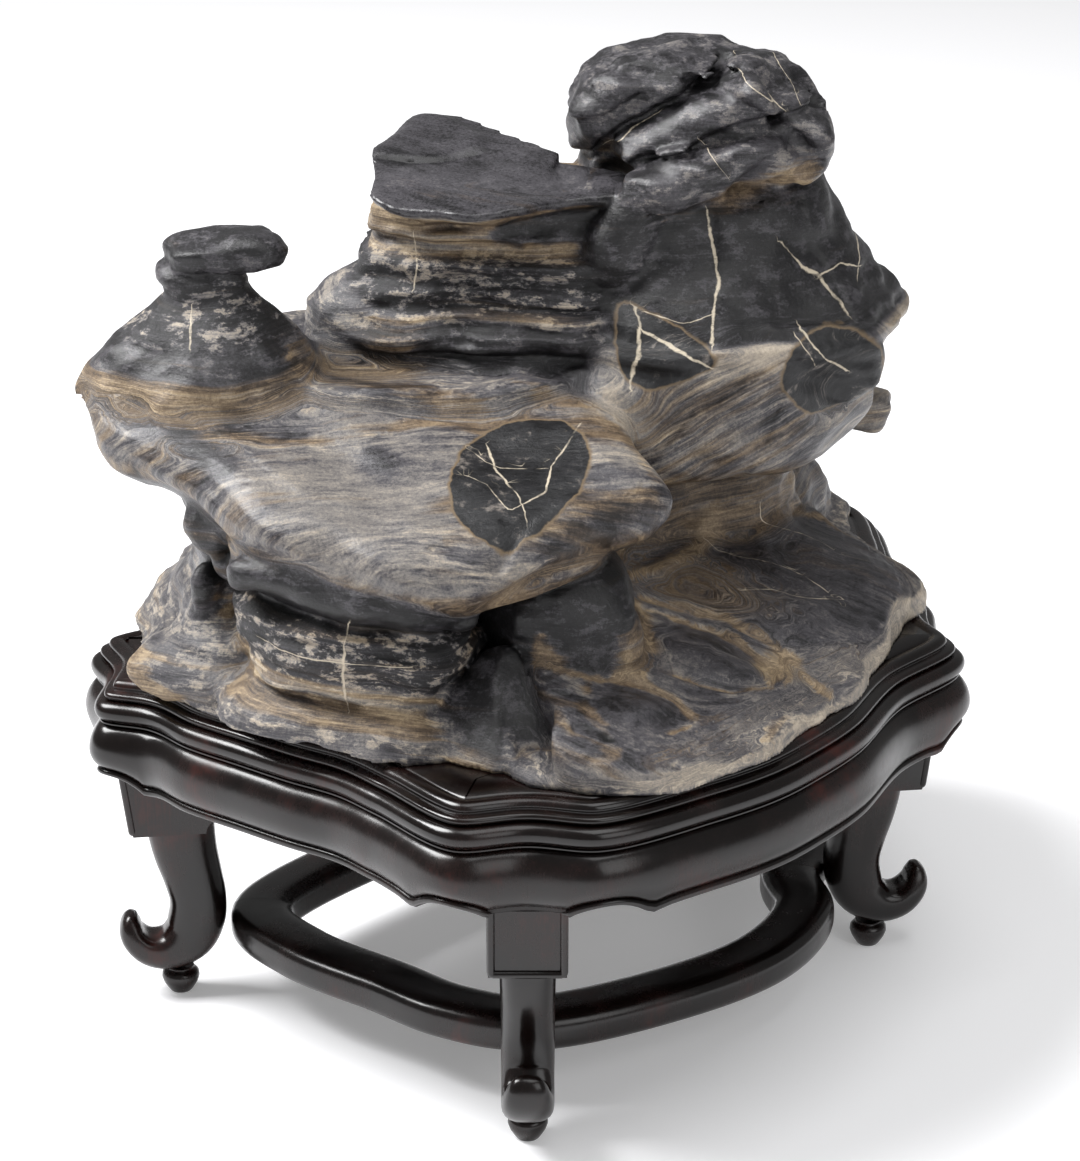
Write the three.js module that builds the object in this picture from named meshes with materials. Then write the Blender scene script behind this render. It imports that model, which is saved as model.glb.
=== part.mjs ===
// A weathered limestone scholar's rock resting on its lacquered hardwood stand.
// Millimetres, +Z up. The stand's floor plane is z = 0 and its front corner leg faces -Y.
import * as THREE from "three";
import { edgeTable, triTable } from "three/addons/objects/MarchingCubes.js";
import { mergeVertices } from "three/addons/utils/BufferGeometryUtils.js";

// ---- Driving dimensions ----
const gap = 0.3; // clearance kept between touching pieces
const boardTop = 199; // height of the panel that carries the stone
const upperTier = 9.5; // thickness of the upper board
const lowerTier = 12.7; // thickness of the moulded board under it
const apronHeight = 35;
const lipStep = 8; // how far the upper lip stands behind the lower one
const bracketSpread = 37; // from a corner's centre to each of its two rounded bumps
const bracketDip = 5; // how far the corner's centre falls behind the bumps
const tabWidth = 40.6;
const tabBottom = 102;
const tabHead = 30; // how far the tab's face stands out at its top
const tabFoot = 25; // and at its foot
const beadWidth = 3.2; // of the raised edge round the tab's face
const beadDepth = 0.9;
const ballHeight = 15;
const ballRadius = 10.5;
const railHeight = 22;
const railWidth = 34;
const railLevel = 41; // height of the stretcher's centre line
const railInset = 46; // from a foot's centre inwards to the stretcher's corner
const rockTriangles = 5300;
const cell = 5; // grid step used to shape the stone
const boardSteps = 56; // sides of the boards' outlines

// Where each leg stands, and the direction it faces, in degrees from +X.
const legs = [
  { name: "front", foot: [0, -195], facing: 270 },
  { name: "right", foot: [193, 29], facing: 8 },
  { name: "back", foot: [112, 243], facing: 68 },
  { name: "left", foot: [-193, -29], facing: 188 },
];
const cornerReach = 35; // from a foot's centre out to the lower lip

// How the board swells between one leg and the next: points on the lower lip.
const swells = {
  front: [[96, -199], [128, -173], [150, -147], [174, -112], [200, -55]],
  right: [[214, 108], [213, 160], [206, 215]],
  back: [[40, 272], [-25, 232], [-85, 180], [-140, 112], [-186, 44]],
  left: [[-200, -84], [-179, -107], [-151, -129], [-124, -150], [-98, -168], [-78, -190]],
};

// ---- Shared helpers ----
const lacquer = () => new THREE.MeshStandardMaterial({ color: "#1d0f0d", roughness: 0.25, metalness: 0 });

function named(name, geometry, material = lacquer()) {
  const mesh = new THREE.Mesh(geometry, material);
  mesh.name = name;
  return mesh;
}

function geometryFrom(positions, indices) {
  const geometry = new THREE.BufferGeometry();
  geometry.setAttribute("position", new THREE.Float32BufferAttribute(positions, 3));
  geometry.setIndex(indices);
  return geometry;
}

// A body through a row of rings with the same number of points, closed at both ends.
function loft(rings) {
  const count = rings[0].length;
  const positions = rings.flat().flatMap((p) => [p.x, p.y, p.z]);
  const indices = [];
  for (let r = 0; r + 1 < rings.length; r++)
    for (let i = 0; i < count; i++) {
      const a = r * count + i;
      const b = r * count + ((i + 1) % count);
      indices.push(a, b, b + count, a, b + count, a + count);
    }
  const last = (rings.length - 1) * count;
  for (const [a, b, c] of capFaces(rings[0])) indices.push(c, b, a);
  for (const [a, b, c] of capFaces(rings.at(-1))) indices.push(a + last, b + last, c + last);
  return geometryFrom(positions, indices);
}

// Triangles over a flat ring, turning the same way as the ring itself.
function capFaces(ring) {
  const normal = new THREE.Vector3();
  ring.forEach((p, i) => normal.add(p.clone().cross(ring[(i + 1) % ring.length])));
  normal.normalize();
  const across = ring[1].clone().sub(ring[0]).projectOnPlane(normal).normalize();
  const up = normal.clone().cross(across);
  const flat = ring.map((p) => new THREE.Vector2(p.dot(across), p.dot(up)));
  return THREE.ShapeUtils.triangulateShape(flat, []);
}

// ---- Plan of the stand ----
function legFrame(leg) {
  const angle = THREE.MathUtils.degToRad(leg.facing);
  const out = new THREE.Vector3(Math.cos(angle), Math.sin(angle), 0);
  const side = new THREE.Vector3(-out.y, out.x, 0);
  const foot = new THREE.Vector3(leg.foot[0], leg.foot[1], 0);
  const place = (u, v, z) => foot.clone().addScaledVector(out, u).addScaledVector(side, v).setZ(z);
  return { place };
}

// The lower lip runs anticlockwise: a bracket of two bumps at each leg, a swell between legs.
function lipPoints() {
  return legs.flatMap((leg) => {
    const { place } = legFrame(leg);
    const bump = (v) => place(cornerReach + bracketDip, v, 0);
    const bracket = [bump(-bracketSpread), place(cornerReach, 0, 0), bump(bracketSpread)];
    return [...bracket, ...swells[leg.name].map(([x, y]) => new THREE.Vector3(x, y, 0))];
  });
}

const lip = new THREE.CatmullRomCurve3(lipPoints(), true, "centripetal");

// A point on the lip moved outwards by some distance, at a given height.
function onLip(t, outward, z) {
  const point = lip.getPoint(t % 1);
  const along = lip.getTangent(t % 1);
  return new THREE.Vector3(point.x + along.y * outward, point.y - along.x * outward, z);
}

// Where each leg's centre line meets the lip, as a fraction of the curve's points.
const cornerStarts = (() => {
  const total = lipPoints().length;
  let index = 1;
  return legs.map((leg) => {
    const t = index / total;
    index += 3 + swells[leg.name].length;
    return t;
  });
})();

// ---- Boards ----
function board(sections) {
  return loft(sections.map(([outward, z]) =>
    Array.from({ length: boardSteps }, (_, i) => onLip(i / boardSteps, outward, z))));
}

function topBoard() {
  const low = boardTop - upperTier;
  return board([
    [-lipStep - 3, low], [-lipStep, low + 2.6], [-lipStep, low + 6.2],
    [-lipStep - 2, low + 8.8], [-lipStep - 5, boardTop],
  ]);
}

function lowerMoulding() {
  const top = boardTop - upperTier - gap;
  const low = top - lowerTier;
  return board([
    [-8, low], [-1.2, low + 4], [0, low + 6.4], [-1.2, low + 8.8], [-9, top],
  ]);
}

// ---- Aprons ----
const apronTop = boardTop - upperTier - lowerTier - 2 * gap;
const apronLow = apronTop - apronHeight;

// Outward offset and height above the apron's lower edge, round the section.
const apronSection = [
  [-9, apronHeight], [-2, 30], [3.6, 20], [3, 11], [-2.5, 5.6],
  [0.4, 3], [-6, 0], [-17, 2], [-19, apronHeight],
];

function apron(index) {
  const start = cornerStarts[index];
  const end = index === 3 ? cornerStarts[0] + 1 : cornerStarts[index + 1];
  const seam = 0.0004;
  const steps = 16;
  const rings = [];
  for (let i = 0; i <= steps; i++) {
    const t = THREE.MathUtils.lerp(start + seam, end - seam, i / steps);
    rings.push(apronSection.map(([outward, height]) => onLip(t, outward, apronLow + height)));
  }
  return loft(rings);
}

// ---- Legs ----
// Stations down the shaft: outward place, height, half depth, half width.
const legStations = [
  [-3, 101.9, 19, 15], [-4.5, 86, 17.6, 14.6], [-8.5, 70, 15.8, 14.3], [-11, 56, 14.6, 14], [-9.5, 43, 14.6, 14],
  [-3, 32, 14.4, 13.6], [8, 27, 12, 13], [19, 30, 9.5, 12], [25.5, 38, 7, 10], [25, 46.5, 4, 6],
];
// Directions of a section's points, in degrees from the way the leg faces.
const aroundLeg = [-50, -36, -30, 30, 36, 50, 75, 105, 130, 160, 200, 230, 255, 285];

// A squared section whose face is a panel set back between two beads.
function tabSection(face, panel, back, half) {
  const [mid1, mid2] = [face - (face - back) / 3, back + (face - back) / 3];
  const right = [[face, half], [mid1, half], [mid2, half], [back, half], [back, half / 3]];
  const front = [[face, -half], [face, -half + beadWidth], [panel, -half + beadWidth + 1]];
  const mirrored = (rows) => rows.map(([u, v]) => [u, -v]).reverse();
  return [...front, ...mirrored(front).slice(0, 2), ...right, ...mirrored(right).slice(0, 4)];
}

function tabRings(place) {
  const high = apronLow - gap;
  const rows = [
    [apronTop, 14, 14, -22, tabWidth / 2 - 3], [high, 14, 14, -22, tabWidth / 2 - 3],
    [high, tabHead, tabHead - beadDepth, -24, tabWidth / 2],
    [tabBottom + beadWidth + 1, tabFoot + 0.5, tabFoot + 0.5 - beadDepth, -24, tabWidth / 2],
    [tabBottom + beadWidth, tabFoot + 0.4, tabFoot + 0.4, -24, tabWidth / 2],
    [tabBottom, tabFoot, tabFoot, -24, tabWidth / 2],
  ];
  return rows.map(([z, ...section]) => tabSection(...section).map(([u, v]) => place(u, v, z)));
}

function shaftRings(place) {
  const spine = new THREE.CatmullRomCurve3(
    legStations.map(([u, z]) => new THREE.Vector3(u, 0, z)), false, "centripetal");
  return legStations.map(([u, z, depth, width], i) => {
    const along = i === 0 ? new THREE.Vector3(0, 0, -1) : spine.getTangent(i / (legStations.length - 1));
    return aroundLeg.map((degrees) => {
      const angle = THREE.MathUtils.degToRad(degrees);
      const swell = Math.pow(Math.abs(Math.cos(angle)) ** 3 + Math.abs(Math.sin(angle)) ** 3, -1 / 3);
      const across = Math.cos(angle) * depth * swell;
      const height = Math.max(z + along.x * across, ballHeight + gap);
      return place(u - along.z * across, Math.sin(angle) * width * swell, height);
    });
  });
}

// A square tab under each corner, a post behind the aprons above it, and a shaft with an upturned toe.
function leg(spec) {
  const { place } = legFrame(spec);
  return loft([...tabRings(place), ...shaftRings(place)].reverse());
}

function ballFoot(spec) {
  const half = ballHeight / 2;
  const profile = [[0, 0], [5.5, 0], [9.4, 2.6], [ballRadius, half], [9.2, 12.2], [6.5, ballHeight], [0, ballHeight]];
  const ball = new THREE.LatheGeometry(profile.map(([x, y]) => new THREE.Vector2(x, y)), 12);
  ball.rotateX(Math.PI / 2);
  return ball.translate(spec.foot[0], spec.foot[1], 0);
}

// ---- Stretcher ----
const railBows = {
  front: [[72, -118], [128, -72], [152, -20]],
  right: [[161, 68], [160, 122], [140, 165]],
  back: [[52, 178], [-15, 128], [-84, 68]],
  left: [[-122, -68], [-74, -108], [-40, -136]],
};

const ring = new THREE.CatmullRomCurve3(legs.flatMap((spec) => {
  const corner = legFrame(spec).place(-railInset, 0, railLevel);
  return [corner, ...railBows[spec.name].map(([x, y]) => new THREE.Vector3(x, y, railLevel))];
}), true, "centripetal");

function rail(index) {
  const steps = 8;
  const seam = 0.0003;
  const w = railWidth / 2;
  const h = railHeight / 2;
  const section = [[w, -0.45 * h], [0.68 * w, -h], [-0.68 * w, -h], [-w, -0.45 * h],
    [-w, 0.45 * h], [-0.68 * w, h], [0.68 * w, h], [w, 0.45 * h]];
  const rings = Array.from({ length: steps + 1 }, (_, i) => {
    const t = THREE.MathUtils.lerp(index / 4 + seam, (index + 1) / 4 - seam, i / steps);
    const point = ring.getPoint(t % 1);
    const along = ring.getTangent(t % 1);
    return section.map(([outward, rise]) => new THREE.Vector3(
      point.x + along.y * outward, point.y - along.x * outward, railLevel + rise));
  });
  return loft(rings);
}

// ---- The stone: distance shapes ----
// Each shape is a function of (x, y, z) that is negative inside and about a true distance near its skin.
const stoneFoot = boardTop + gap;
const lowCorner = [-246, -246, stoneFoot - 1.5 * cell];
const gridSize = [98, 105, 68];

function lerpTable(table, at) {
  if (at <= table[0][0]) return table[0][1];
  for (let i = 1; i < table.length; i++) {
    const [h, value] = table[i];
    if (at < h) {
      const [h0, value0] = table[i - 1];
      return THREE.MathUtils.lerp(value0, value, (at - h0) / (h - h0));
    }
  }
  return table.at(-1)[1];
}

// Signed distance in plan to a closed outline, smooth or sharp, kept on the grid and read between its points.
function planDistance(outline, sharp) {
  const points = outline.map(([x, y]) => new THREE.Vector3(x, y, 0));
  const edge = sharp ? [...points, points[0]]
    : new THREE.CatmullRomCurve3(points, true, "centripetal").getPoints(outline.length * 4);
  const [nx, ny] = [gridSize[0] + 2, gridSize[1] + 2];
  const values = new Float32Array(nx * ny);
  for (let j = 0; j < ny; j++)
    for (let i = 0; i < nx; i++) {
      const x = lowCorner[0] + i * cell;
      const y = lowCorner[1] + j * cell;
      let nearest = Infinity;
      let inside = false;
      for (let k = 1; k < edge.length; k++) {
        const [a, b] = [edge[k - 1], edge[k]];
        const [ex, ey, px, py] = [b.x - a.x, b.y - a.y, x - a.x, y - a.y];
        const along = THREE.MathUtils.clamp((px * ex + py * ey) / (ex * ex + ey * ey), 0, 1);
        nearest = Math.min(nearest, (px - along * ex) ** 2 + (py - along * ey) ** 2);
        if (a.y > y !== b.y > y && px < (ex * py) / ey) inside = !inside;
      }
      values[j * nx + i] = Math.sqrt(nearest) * (inside ? -1 : 1);
    }
  return (x, y) => {
    const u = THREE.MathUtils.clamp((x - lowCorner[0]) / cell, 0, nx - 1.001);
    const v = THREE.MathUtils.clamp((y - lowCorner[1]) / cell, 0, ny - 1.001);
    const [i, j] = [Math.floor(u), Math.floor(v)];
    const at = j * nx + i;
    const low = values[at] + (values[at + 1] - values[at]) * (u - i);
    const high = values[at + nx] + (values[at + nx + 1] - values[at + nx]) * (u - i);
    return low + (high - low) * (v - j);
  };
}

// A bed of stone: a plan outline drawn in by a different amount at each height, on a tilted bedding.
function bed({ outline, profile, tilt = [0, 0], round = 3, lean = [0, 0], sharp = false }) {
  const plan = planDistance(outline, sharp);
  const [low, high] = [profile[0][0], profile.at(-1)[0]];
  return (x, y, z) => {
    const h = z - tilt[0] * x - tilt[1] * y;
    const side = plan(x - lean[0] * (h - low), y - lean[1] * (h - low)) + lerpTable(profile, h) + round;
    const cap = Math.max(h - high, low - h) + round;
    return Math.min(Math.max(side, cap), 0) + Math.hypot(Math.max(side, 0), Math.max(cap, 0)) - round;
  };
}

// The way back from a turned shape's own axes: rolled about x, pitched about y, then turned about z.
function wayBack(at, turn, pitch, roll = 0) {
  const { degToRad } = THREE.MathUtils;
  return new THREE.Matrix4().makeTranslation(...at)
    .multiply(new THREE.Matrix4().makeRotationZ(degToRad(turn)))
    .multiply(new THREE.Matrix4().makeRotationY(degToRad(pitch)))
    .multiply(new THREE.Matrix4().makeRotationX(degToRad(roll))).invert();
}

// A worn boulder: an ellipsoid, squarer as its power rises above 2.
function boulder(at, size, turn = 0, pitch = 0, power = 2) {
  const back = wayBack(at, turn, pitch);
  const p = new THREE.Vector3();
  const radii = new THREE.Vector3(...size);
  return (x, y, z) => {
    p.set(x, y, z).applyMatrix4(back).divide(radii);
    const reach = (Math.abs(p.x) ** power + Math.abs(p.y) ** power + Math.abs(p.z) ** power) ** (1 / power);
    return (reach * (reach - 1)) / Math.max(p.divide(radii).length(), 1e-6);
  };
}

// A squared lump with worn edges.
function block(at, size, turn, pitch, roll, worn) {
  const back = wayBack(at, turn, pitch, roll);
  const p = new THREE.Vector3();
  return (x, y, z) => {
    p.set(x, y, z).applyMatrix4(back);
    const q = p.toArray().map((v, axis) => Math.abs(v) - size[axis] + worn);
    return Math.hypot(...q.map((v) => Math.max(v, 0))) + Math.min(Math.max(...q), 0) - worn;
  };
}

// A rounded ridge along a few points, thick at its start and thinner at its end.
function ridge(points, thick, thin = thick) {
  const line = points.map((point) => new THREE.Vector3(...point));
  const p = new THREE.Vector3();
  const ab = new THREE.Vector3();
  return (x, y, z) => {
    let nearest = Infinity;
    for (let i = 1; i < line.length; i++) {
      ab.subVectors(line[i], line[i - 1]);
      const along = THREE.MathUtils.clamp(p.set(x, y, z).sub(line[i - 1]).dot(ab) / ab.lengthSq(), 0, 1);
      const radius = THREE.MathUtils.lerp(thick, thin, (i - 1 + along) / (line.length - 1));
      nearest = Math.min(nearest, p.addScaledVector(ab, -along).length() - radius);
    }
    return nearest;
  };
}

// A turned shape about a vertical axis that may lean: radius by height.
function spindle(at, profile, lean = 0, flat = 1) {
  return (x, y, z) => {
    const radius = lerpTable(profile, z);
    const side = Math.hypot(x - at[0] - lean * (z - profile[0][0]), (y - at[1]) / flat) - radius;
    return Math.max(side * 0.75, z - profile.at(-1)[0], profile[0][0] - z);
  };
}

function blend(a, b, soft) {
  const near = Math.max(soft - Math.abs(a - b), 0) / soft;
  return Math.min(a, b) - (near * near * soft) / 4;
}

// ---- The stone: its beds, columns and boulders ----
const add = (soft, shape) => ({ soft, shape, sign: 1 });
const carve = (soft, shape) => ({ soft, shape, sign: -1 });

const stoneFeatures = [
  // the sawn foot that lies on the board
  add(1, bed({ outline: [[-209, -21], [-201, -61], [-184, -92], [-153, -121], [-120, -146], [-94, -160],
    [-64, -172], [-21, -177], [-6, -196], [9, -206], [35, -215], [60, -217], [85, -202], [105, -184], [138,
    -147], [156, -112], [174, -88], [196, -6], [212, 50], [204, 105], [190, 153], [186, 215], [160, 250],
    [110, 256], [50, 238], [-20, 205], [-90, 165], [-150, 118], [-190, 60]], profile: [[190, 0], [204,
    0.5], [207, 3], [209, 12]], round: 1 })),
  add(3, bed({ outline: [[-205, -21], [-198, -61], [-182, -90], [-152, -119], [-120, -144], [-94, -158],
    [-64, -170], [-24, -175], [-8, -190], [0, -150], [10, 0], [30, 225], [-20, 205], [-90, 165], [-150,
    118], [-190, 60]], profile: [[190, 0], [206, 0], [213, 5], [220, 15], [228, 32]], round: 2 })),
  // the broad slab that runs out to the right and slopes down to a sharp rim
  add(1.5, bed({ outline: [[-6, -124], [5, -150], [13, -180], [14, -203], [35, -213], [60, -217], [85,
    -197], [116, -165], [139, -127], [162, -93], [180, -59], [204, 6], [220, 42], [212, 60], [191, 76],
    [152, 84], [60, 60], [-10, 0], [-24, -80]], profile: [[150, -1], [259, 0], [261, 1], [262.6, 4],
    [263.5, 18], [264, 40]], tilt: [-0.2515, 0.1583], round: 0.8 })),
  add(5, bed({ outline: [[56, -26], [74, -6], [92, 10], [122, 58], [156, 96], [176, 80], [196, 66], [206,
    30], [190, -20], [170, -46], [140, -66], [100, -58], [70, -46]], profile: [[240, 0], [263, 0], [265.5,
    3], [267.5, 16]], tilt: [-0.2515, 0.1583], round: 2 })),
  add(2, boulder([90, -92, 214], [38, 33, 16], -38, 12)),
  add(2, boulder([54, -158, 217], [27, 20, 11], 50, 8)),
  add(8, bed({ outline: [[60, 60], [120, 85], [152, 100], [172, 146], [176, 205], [158, 236], [110, 248],
    [40, 230], [0, 190], [10, 110]], profile: [[190, 0], [222, 1], [236, 8], [248, 22], [258, 42]] })),
  // the banded block at the front left, with a rolled top
  add(2.5, bed({ outline: [[-142, -62], [-148, -105], [-138, -136], [-112, -156], [-72, -166], [-44, -160],
    [-30, -130], [-24, -70], [-50, 0], [-120, 5]], profile: [[195, -14], [204, -10], [211, -3], [216, 3],
    [220, 2], [226, 0], [231, 2], [236, -1], [242, -3], [246, 1], [250, -1], [255, 4], [258, 9], [261, 5],
    [266, -2], [272, -5], [278, -3], [284, 3], [289, 13]], tilt: [-0.08, 0], round: 1.5 })),
  add(3, ridge([[-142, -136, 283], [-112, -152, 287], [-66, -158, 278], [-34, -148, 268]], 9, 8)),
  // the smooth flank of the left foot, its cut corner and the hollow beside it
  add(4, boulder([-186, -76, 208], [20, 22, 11], -30, 10, 2.6)),
  carve(5, ridge([[-160, -132, 224], [-150, -108, 236], [-154, -84, 262]], 9, 7)),
  // the pillar and knobs behind it
  add(6, bed({ outline: [[-180, -60], [-172, -86], [-152, -92], [-134, -78], [-120, 0], [-140, 70], [-178,
    50]], profile: [[205, -18], [211, -25], [219, -21], [228, -10], [240, -2], [252, 6], [272, 9], [290,
    6], [302, 3], [335, -8]] })),
  add(3, boulder([-158, -92, 296], [19, 15, 17], 10, 30)),
  add(2, boulder([-150, -97, 276], [13, 10, 11], 0, 30)),
  add(2, boulder([-166, -84, 258], [9, 9, 15])),
  // the heart of the stone
  add(12, bed({ outline: [[-140, -40], [-90, -66], [-10, -58], [40, -30], [80, 12], [132, 44], [150, 100],
    [130, 172], [60, 196], [-20, 170], [-90, 128], [-150, 78]], profile: [[200, -16], [225, -8], [250, 2],
    [290, 4], [330, 0], [356, 6]] })),
  // swells and hollows round the back
  add(8, boulder([-62, 148, 292], [58, 32, 22], -35, 0, 2.4)),
  add(8, boulder([62, 184, 284], [56, 28, 38], 8, 0, 2.4)),
  add(6, boulder([-128, 104, 250], [34, 24, 30], -40, 0, 2.6)),
  carve(9, boulder([4, 206, 262], [30, 26, 40], 10)),
  carve(9, boulder([-96, 150, 262], [24, 22, 30], -40)),
  // the dark many-sided lump and the little pyramid in front of it
  add(3, boulder([14, -90, 245], [40, 50, 37], 16, -8, 2.8)),
  add(1, bed({ outline: [[-46, -170], [-16, -191], [14, -172], [8, -140], [-38, -134]], profile: [[195,
    -6], [207, -2], [222, 4], [234, 11], [243, 19], [249, 28]], round: 0.8, sharp: true, lean: [0, 0.5] })),
  add(6, boulder([-20, -136, 220], [28, 24, 19], 0, 0, 2.6)),
  // the great table
  add(7, bed({ outline: [[-230, -43], [-226, -62], [-216, -77], [-192, -91], [-168, -112], [-130, -150],
    [-97, -166], [-62, -175], [-26, -175], [4, -152], [36, -130], [70, -109], [67, -84], [52, -50], [42,
    -10], [50, 24], [0, 40], [-70, 36], [-112, 20], [-160, 14], [-210, 10]], profile: [[312, 36], [320,
    20], [330, 9], [340, 2], [348, 0], [355, 4], [360, 12], [363, 26]], tilt: [-0.05, 0.32], round: 2 })),
  add(3, bed({ outline: [[-150, -110], [-120, -146], [-60, -163], [-20, -158], [10, -140], [40, -110], [30,
    -60], [-60, -40], [-140, -50]], profile: [[300, 10], [306, 0], [313, -3], [319, -1], [322, 2], [326,
    -2], [334, 6]], tilt: [-0.02, 0.2], round: 1.5 })),
  // the brow that overhangs the slab on the right
  add(8, boulder([40, -2, 336], [50, 42, 30])),
  add(6, bed({ outline: [[30, -34], [60, -38], [104, -32], [140, -14], [164, 20], [174, 60], [168, 108],
    [140, 146], [80, 166], [10, 156], [-50, 110], [-50, 40], [-10, -10]], profile: [[289, 30], [294, 12],
    [299, 4], [306, 0], [318, -2], [334, 2], [350, 3], [361, 1], [366, -2], [370, -1], [373, 5], [380,
    10]], round: 2, lean: [0.38, 0] })),
  carve(9, boulder([140, -40, 262], [96, 56, 34], -10)),
  carve(8, boulder([222, 0, 280], [54, 60, 40])),
  add(1.5, boulder([160, 2, 354], [27, 19, 22], 0, 0, 2.6)),
  add(3, block([186, 110, 295], [17, 18, 9], 0, 16, 0, 5)),
  // the tall column at the back right
  add(4, bed({ outline: [[44, 0], [66, -12], [92, -12], [130, -2], [160, 18], [176, 55], [172, 100], [140,
    135], [80, 148], [20, 130], [5, 70], [20, 20]], profile: [[366, -22], [372, -21], [378, -18], [388,
    -13], [399, -5], [410, 3], [422, 8], [434, 13], [440, 17], [447, 24], [458, 26]], round: 2 })),
  add(3, boulder([76, -12, 372], [26, 15, 16], 6, 10, 2.6)),
  // the folded cap over it
  add(5, boulder([88, 70, 470], [65, 54, 39], 0, 2, 3)),
  add(2, boulder([44, 62, 474], [25, 42, 20], 6, 10, 2.6)),
  add(1.5, block([84, 32, 474], [50, 27, 20], -6, -27, 10, 13)),
  add(2, boulder([128, 44, 470], [31, 38, 25], 8, 18, 3)),
  add(2, boulder([72, 60, 492], [26, 36, 19], 0, -10, 2.6)),
  add(2, boulder([78, 4, 452], [30, 19, 17], -4, -14, 2.8)),
  add(2, boulder([112, 8, 462], [30, 18, 13], 10, -16, 2.4)),
  carve(3, ridge([[48, -6, 430], [66, -8, 434], [98, -6, 436], [122, 0, 444], [150, 14, 458]], 5, 4)),
  carve(3, boulder([43, 14, 446], [13, 24, 12])),
  // the middle column with its flat, sharp-edged top
  add(3, bed({ outline: [[-98, 12], [-80, -8], [-40, -18], [0, -20], [35, -16], [58, 0], [64, 50], [40,
    84], [-10, 92], [-60, 98], [-92, 70]], profile: [[348, -12], [359, -7], [364, -2], [367, -8], [374,
    -8], [377, -1], [383, -2], [387, 6], [395, 5], [398, 11], [404, 9], [409, 8], [411, 15], [414, 19],
    [419, 20], [422, 14], [430, 17], [438, 19], [446, 22]], round: 1.5 })),
  add(1, bed({ outline: [[-82, 8], [-82, 36], [-77, 66], [-63, 97], [-36, 91], [-12, 72], [18, 48], [46,
    22], [54, 2], [20, -10], [-14, -26], [-45, -26], [-66, -18], [-79, -5]], profile: [[429, 24], [436,
    13], [440, 4], [443, 0.5], [446.5, 0]], tilt: [0, 0.18], round: 0.8 })),
  add(7, bed({ outline: [[-76, 40], [-74, 66], [-61, 94], [-38, 80], [-24, 60], [-40, 44]], profile: [[440,
    4], [448, 0], [449, 1]], tilt: [0, 0.18], round: 3 })),
  add(4, boulder([50, 2, 420], [18, 15, 27], 10, 26, 2.6)),
  add(7, boulder([-96, 24, 366], [24, 34, 34], 0, 22)),
  // the small toadstool on the left end of the table
  add(5, spindle([-168, -22], [[345, 68], [362, 60], [373, 51], [384, 40], [392, 29], [398, 23.5], [405,
    22], [411, 20]], 0, 0.8)),
  add(2, boulder([-171, -20, 408], [23, 19, 8], 0, 6, 2.4)),
  add(1.5, boulder([-158, -18, 419.5], [30, 22, 9], 6, -3, 3.4)),
  add(2, boulder([-138, -20, 421], [13, 13, 5], 0, -4)),
];

// A slow waviness that takes the evenness out of every shape.
function worn(x, y, z) {
  const { sin } = Math;
  return [
    x + 1.7 * sin(0.085 * y + 0.06 * z + 1.1) + 0.8 * sin(0.21 * z - 0.15 * y + 0.4),
    y + 1.8 * sin(0.075 * x - 0.07 * z + 2.3) + 0.8 * sin(0.16 * x + 0.23 * z),
    z + 1.2 * sin(0.05 * x + 0.06 * y + 0.7) + 0.4 * sin(0.13 * x - 0.11 * y + 1.9),
  ];
}

function stoneDistance(x, y, z) {
  const [wx, wy, wz] = worn(x, y, z);
  let all = 1e3;
  for (const { soft, shape, sign } of stoneFeatures) {
    const d = shape(wx, wy, wz);
    all = sign > 0 ? blend(all, d, soft) : -blend(-all, d, soft);
  }
  return Math.max(all, stoneFoot - z);
}

// ---- The stone: from distances to a faceted skin ----
function polygonise(distance) {
  const [nx, ny, nz] = gridSize;
  const [sx, sy, sz] = [1, nx + 1, (nx + 1) * (ny + 1)];
  const values = new Float32Array(sz * (nz + 1));
  for (let k = 0, n = 0; k <= nz; k++)
    for (let j = 0; j <= ny; j++)
      for (let i = 0; i <= nx; i++)
        values[n++] = distance(lowCorner[0] + i * cell, lowCorner[1] + j * cell, lowCorner[2] + k * cell) || 1e-6;
  const corners = [0, sx, sx + sy, sy, sz, sx + sz, sx + sy + sz, sy + sz];
  const edges = [[0, 1], [1, 2], [3, 2], [0, 3], [4, 5], [5, 6], [7, 6], [4, 7], [0, 4], [1, 5], [2, 6], [3, 7]];
  const steps = [sx, sy, sx, sy, sx, sy, sx, sy, sz, sz, sz, sz];
  const known = new Map();
  const positions = [];
  const indices = [];
  const pointOn = (from, edge) => {
    const a = from + corners[edges[edge][0]];
    const step = steps[edge];
    const key = a * 3 + (step === sx ? 0 : step === sy ? 1 : 2);
    if (!known.has(key)) {
      const part = THREE.MathUtils.clamp(values[a] / (values[a] - values[a + step]), 0.02, 0.98);
      const at = [a % sy, Math.floor((a % sz) / sy), Math.floor(a / sz)];
      at[key % 3] += part;
      known.set(key, positions.length / 3);
      positions.push(...at.map((v, axis) => lowCorner[axis] + v * cell));
    }
    return known.get(key);
  };
  for (let k = 0; k < nz; k++)
    for (let j = 0; j < ny; j++)
      for (let i = 0; i < nx; i++) {
        const from = k * sz + j * sy + i;
        let shape = 0;
        corners.forEach((c, bit) => { if (values[from + c] < 0) shape |= 1 << bit; });
        if (!edgeTable[shape]) continue;
        for (let n = shape * 16; triTable[n] !== -1; n += 3)
          indices.push(pointOn(from, triTable[n]), pointOn(from, triTable[n + 2]), pointOn(from, triTable[n + 1]));
      }
  return { positions, indices };
}

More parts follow.
